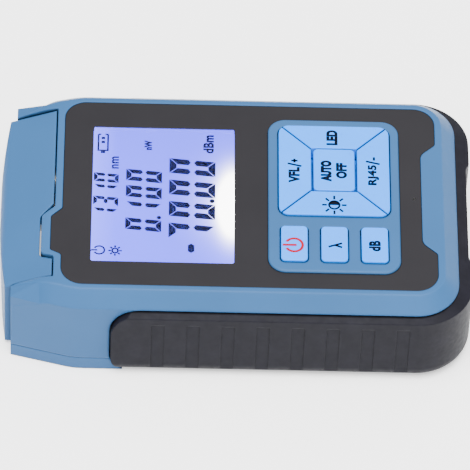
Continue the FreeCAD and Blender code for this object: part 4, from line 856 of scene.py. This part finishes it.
class METER_OT_power(bpy.types.Operator):
    """Battery cells, their contacts and coiled springs, the hinge pin and the screws"""

    bl_idname = "meter.power"
    bl_label = "Batteries and metal parts"

    def execute(self, context):
        steel = metal("bright_steel", (0.55, 0.56, 0.58), 0.28)
        put_on(battery_jacket("cell_jacket"), "batteries")
        put_on(steel, "battery_contacts", "hinge_pin", "case_screws")
        springs = join([self.coil(*place) for place in self.spring_places()], "battery_coils")
        dress(springs, "housing", steel)
        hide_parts("battery_springs")
        return {"FINISHED"}

    def spring_places(self):
        """Middle of each cell and the plate its spring stands on."""
        low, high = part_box("battery_springs")
        z = (low.z + high.z) / 2
        radius = (high.z - low.z) / 2
        for x, foot, way in ((low.x + radius, low.y, 1), ((low.x + high.x) / 2, high.y, -1),
                             (high.x - radius, low.y, 1)):
            yield x, foot, z, radius, way

    def coil(self, x, foot, z, radius, way):
        """Tapered spring: a wire section wound from the plate towards the cell."""
        wire, free_length = 0.3 * MM, 3.0 * MM  # wire is the radius of the wire's section
        steps, turns, taper = 96, 3.5, 0.45
        length = free_length - 2 * wire
        curve = bpy.data.curves.new("coil", "CURVE")
        curve.dimensions = "3D"
        curve.bevel_depth = wire
        curve.bevel_resolution = 2
        line = curve.splines.new("NURBS")
        line.points.add(steps)
        for index in range(steps + 1):
            share = index / steps
            angle = share * turns * 2 * math.pi
            reach = (radius - wire) * (1 - taper * share)
            line.points[index].co = (x + reach * math.cos(angle),
                                     foot + way * (wire + length * share),
                                     z + reach * math.sin(angle), 1)
        line.order_u = 3
        line.use_endpoint_u = True
        curve.use_fill_caps = True
        coil = bpy.data.objects.new("coil", curve)
        bpy.context.scene.collection.objects.link(coil)
        only(coil)
        bpy.ops.object.convert(target="MESH")
        bpy.ops.object.shade_smooth_by_angle(angle=math.radians(40))
        return bpy.context.object


# ---------------------------------------------------------------- stage
class METER_OT_stage(bpy.types.Operator):
    """Pale floor, soft studio light and the camera"""

    bl_idname = "meter.stage"
    bl_label = "Stage, light and camera"

    def execute(self, context):
        self.floor()
        self.lights(context)
        self.camera(context)
        return {"FINISHED"}

    def floor(self):
        """Plain pale floor under the meter."""
        deselect()
        bpy.ops.mesh.primitive_plane_add(size=6.0, location=(0, 0, -0.2 * MM))
        floor = bpy.context.object
        floor.name = "stage_floor"
        finish = Finish("pale_floor", Roughness=0.9, Specular_IOR_Level=0.1)
        tone = finish.blend(finish.mottle(3, 2.0), (0.93, 0.93, 0.935), (0.95, 0.95, 0.95))
        finish.link(tone, "Base Color")
        finish.set(Emission_Color=WHITE, Emission_Strength=0.7)
        floor.data.materials.append(finish.material)

    def lights(self, context):
        """Dim even surroundings, one wide lamp above and two weaker ones beside."""
        world = bpy.data.worlds.new("studio")
        world.use_nodes = True
        background = world.node_tree.nodes["Background"]
        background.inputs["Color"].default_value = (*WHITE, 1.0)
        background.inputs["Strength"].default_value = 0.9
        context.scene.world = world
        lamps = (
            ("lamp_above", (-0.55, 0.10, 2.20), 1.6, 172.0),
            ("lamp_side", (-1.30, -1.10, 0.80), 1.0, 6.0),
            ("lamp_far", (1.20, -0.60, 0.90), 0.8, 6.0),
        )
        target = Vector((0, 0, 10 * MM))
        for name, place, size, power in lamps:
            data = bpy.data.lights.new(name, "AREA")
            data.shape = "SQUARE"
            data.size = size
            data.energy = power
            lamp = bpy.data.objects.new(name, data)
            lamp.location = place
            lamp.rotation_euler = (Vector(place) - target).to_track_quat("Z", "Y").to_euler()
            context.scene.collection.objects.link(lamp)

    def camera(self, context):
        """Long lens from the left, about 41 degrees off the face's normal."""
        data = bpy.data.cameras.new("camera")
        data.sensor_width = 36.0
        data.lens = 393.12
        data.clip_start = 0.05
        data.clip_end = 20.0
        camera = bpy.data.objects.new("camera", data)
        camera.location = (-0.86355, 0.0280, 1.00624)
        turns = (40.9436, -1.7375, -89.859)  # degrees about X, Y and Z
        camera.rotation_euler = Euler([math.radians(angle) for angle in turns])
        context.scene.collection.objects.link(camera)
        context.scene.camera = camera


# ---------------------------------------------------------------- sidebar and start
STEPS = (METER_OT_stage, METER_OT_casing, METER_OT_cheek_ridges, METER_OT_grip, METER_OT_face,
         METER_OT_display, METER_OT_display_signs, METER_OT_keys, METER_OT_key_legends,
         METER_OT_key_symbols, METER_OT_ports, METER_OT_boards, METER_OT_power)


class METER_PT_sidebar(bpy.types.Panel):
    """Values and steps of the meter's dressing"""

    bl_label = "Optical power meter"
    bl_idname = "METER_PT_sidebar"
    bl_space_type = "VIEW_3D"
    bl_region_type = "UI"
    bl_category = "Meter"

    def draw(self, context):
        layout = self.layout
        for group in (context.scene.meter_colours, context.scene.meter_sizes):
            column = layout.column()
            for name in group.__annotations__:
                column.prop(group, name)
        for step in STEPS:
            layout.operator(step.bl_idname)


CLASSES = (MeterColours, MeterSizes, *STEPS, METER_PT_sidebar)


def register():
    """Make the classes and the scene's values known."""
    for item in CLASSES:
        bpy.utils.register_class(item)
    bpy.types.Scene.meter_colours = PointerProperty(type=MeterColours)
    bpy.types.Scene.meter_sizes = PointerProperty(type=MeterSizes)


def unregister():
    """Take them away again."""
    del bpy.types.Scene.meter_sizes
    del bpy.types.Scene.meter_colours
    for item in reversed(CLASSES):
        bpy.utils.unregister_class(item)


def main():
    """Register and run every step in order."""
    register()
    for step in STEPS:
        area, name = step.bl_idname.split(".")
        getattr(getattr(bpy.ops, area), name)()


if __name__ == "__main__":
    main()
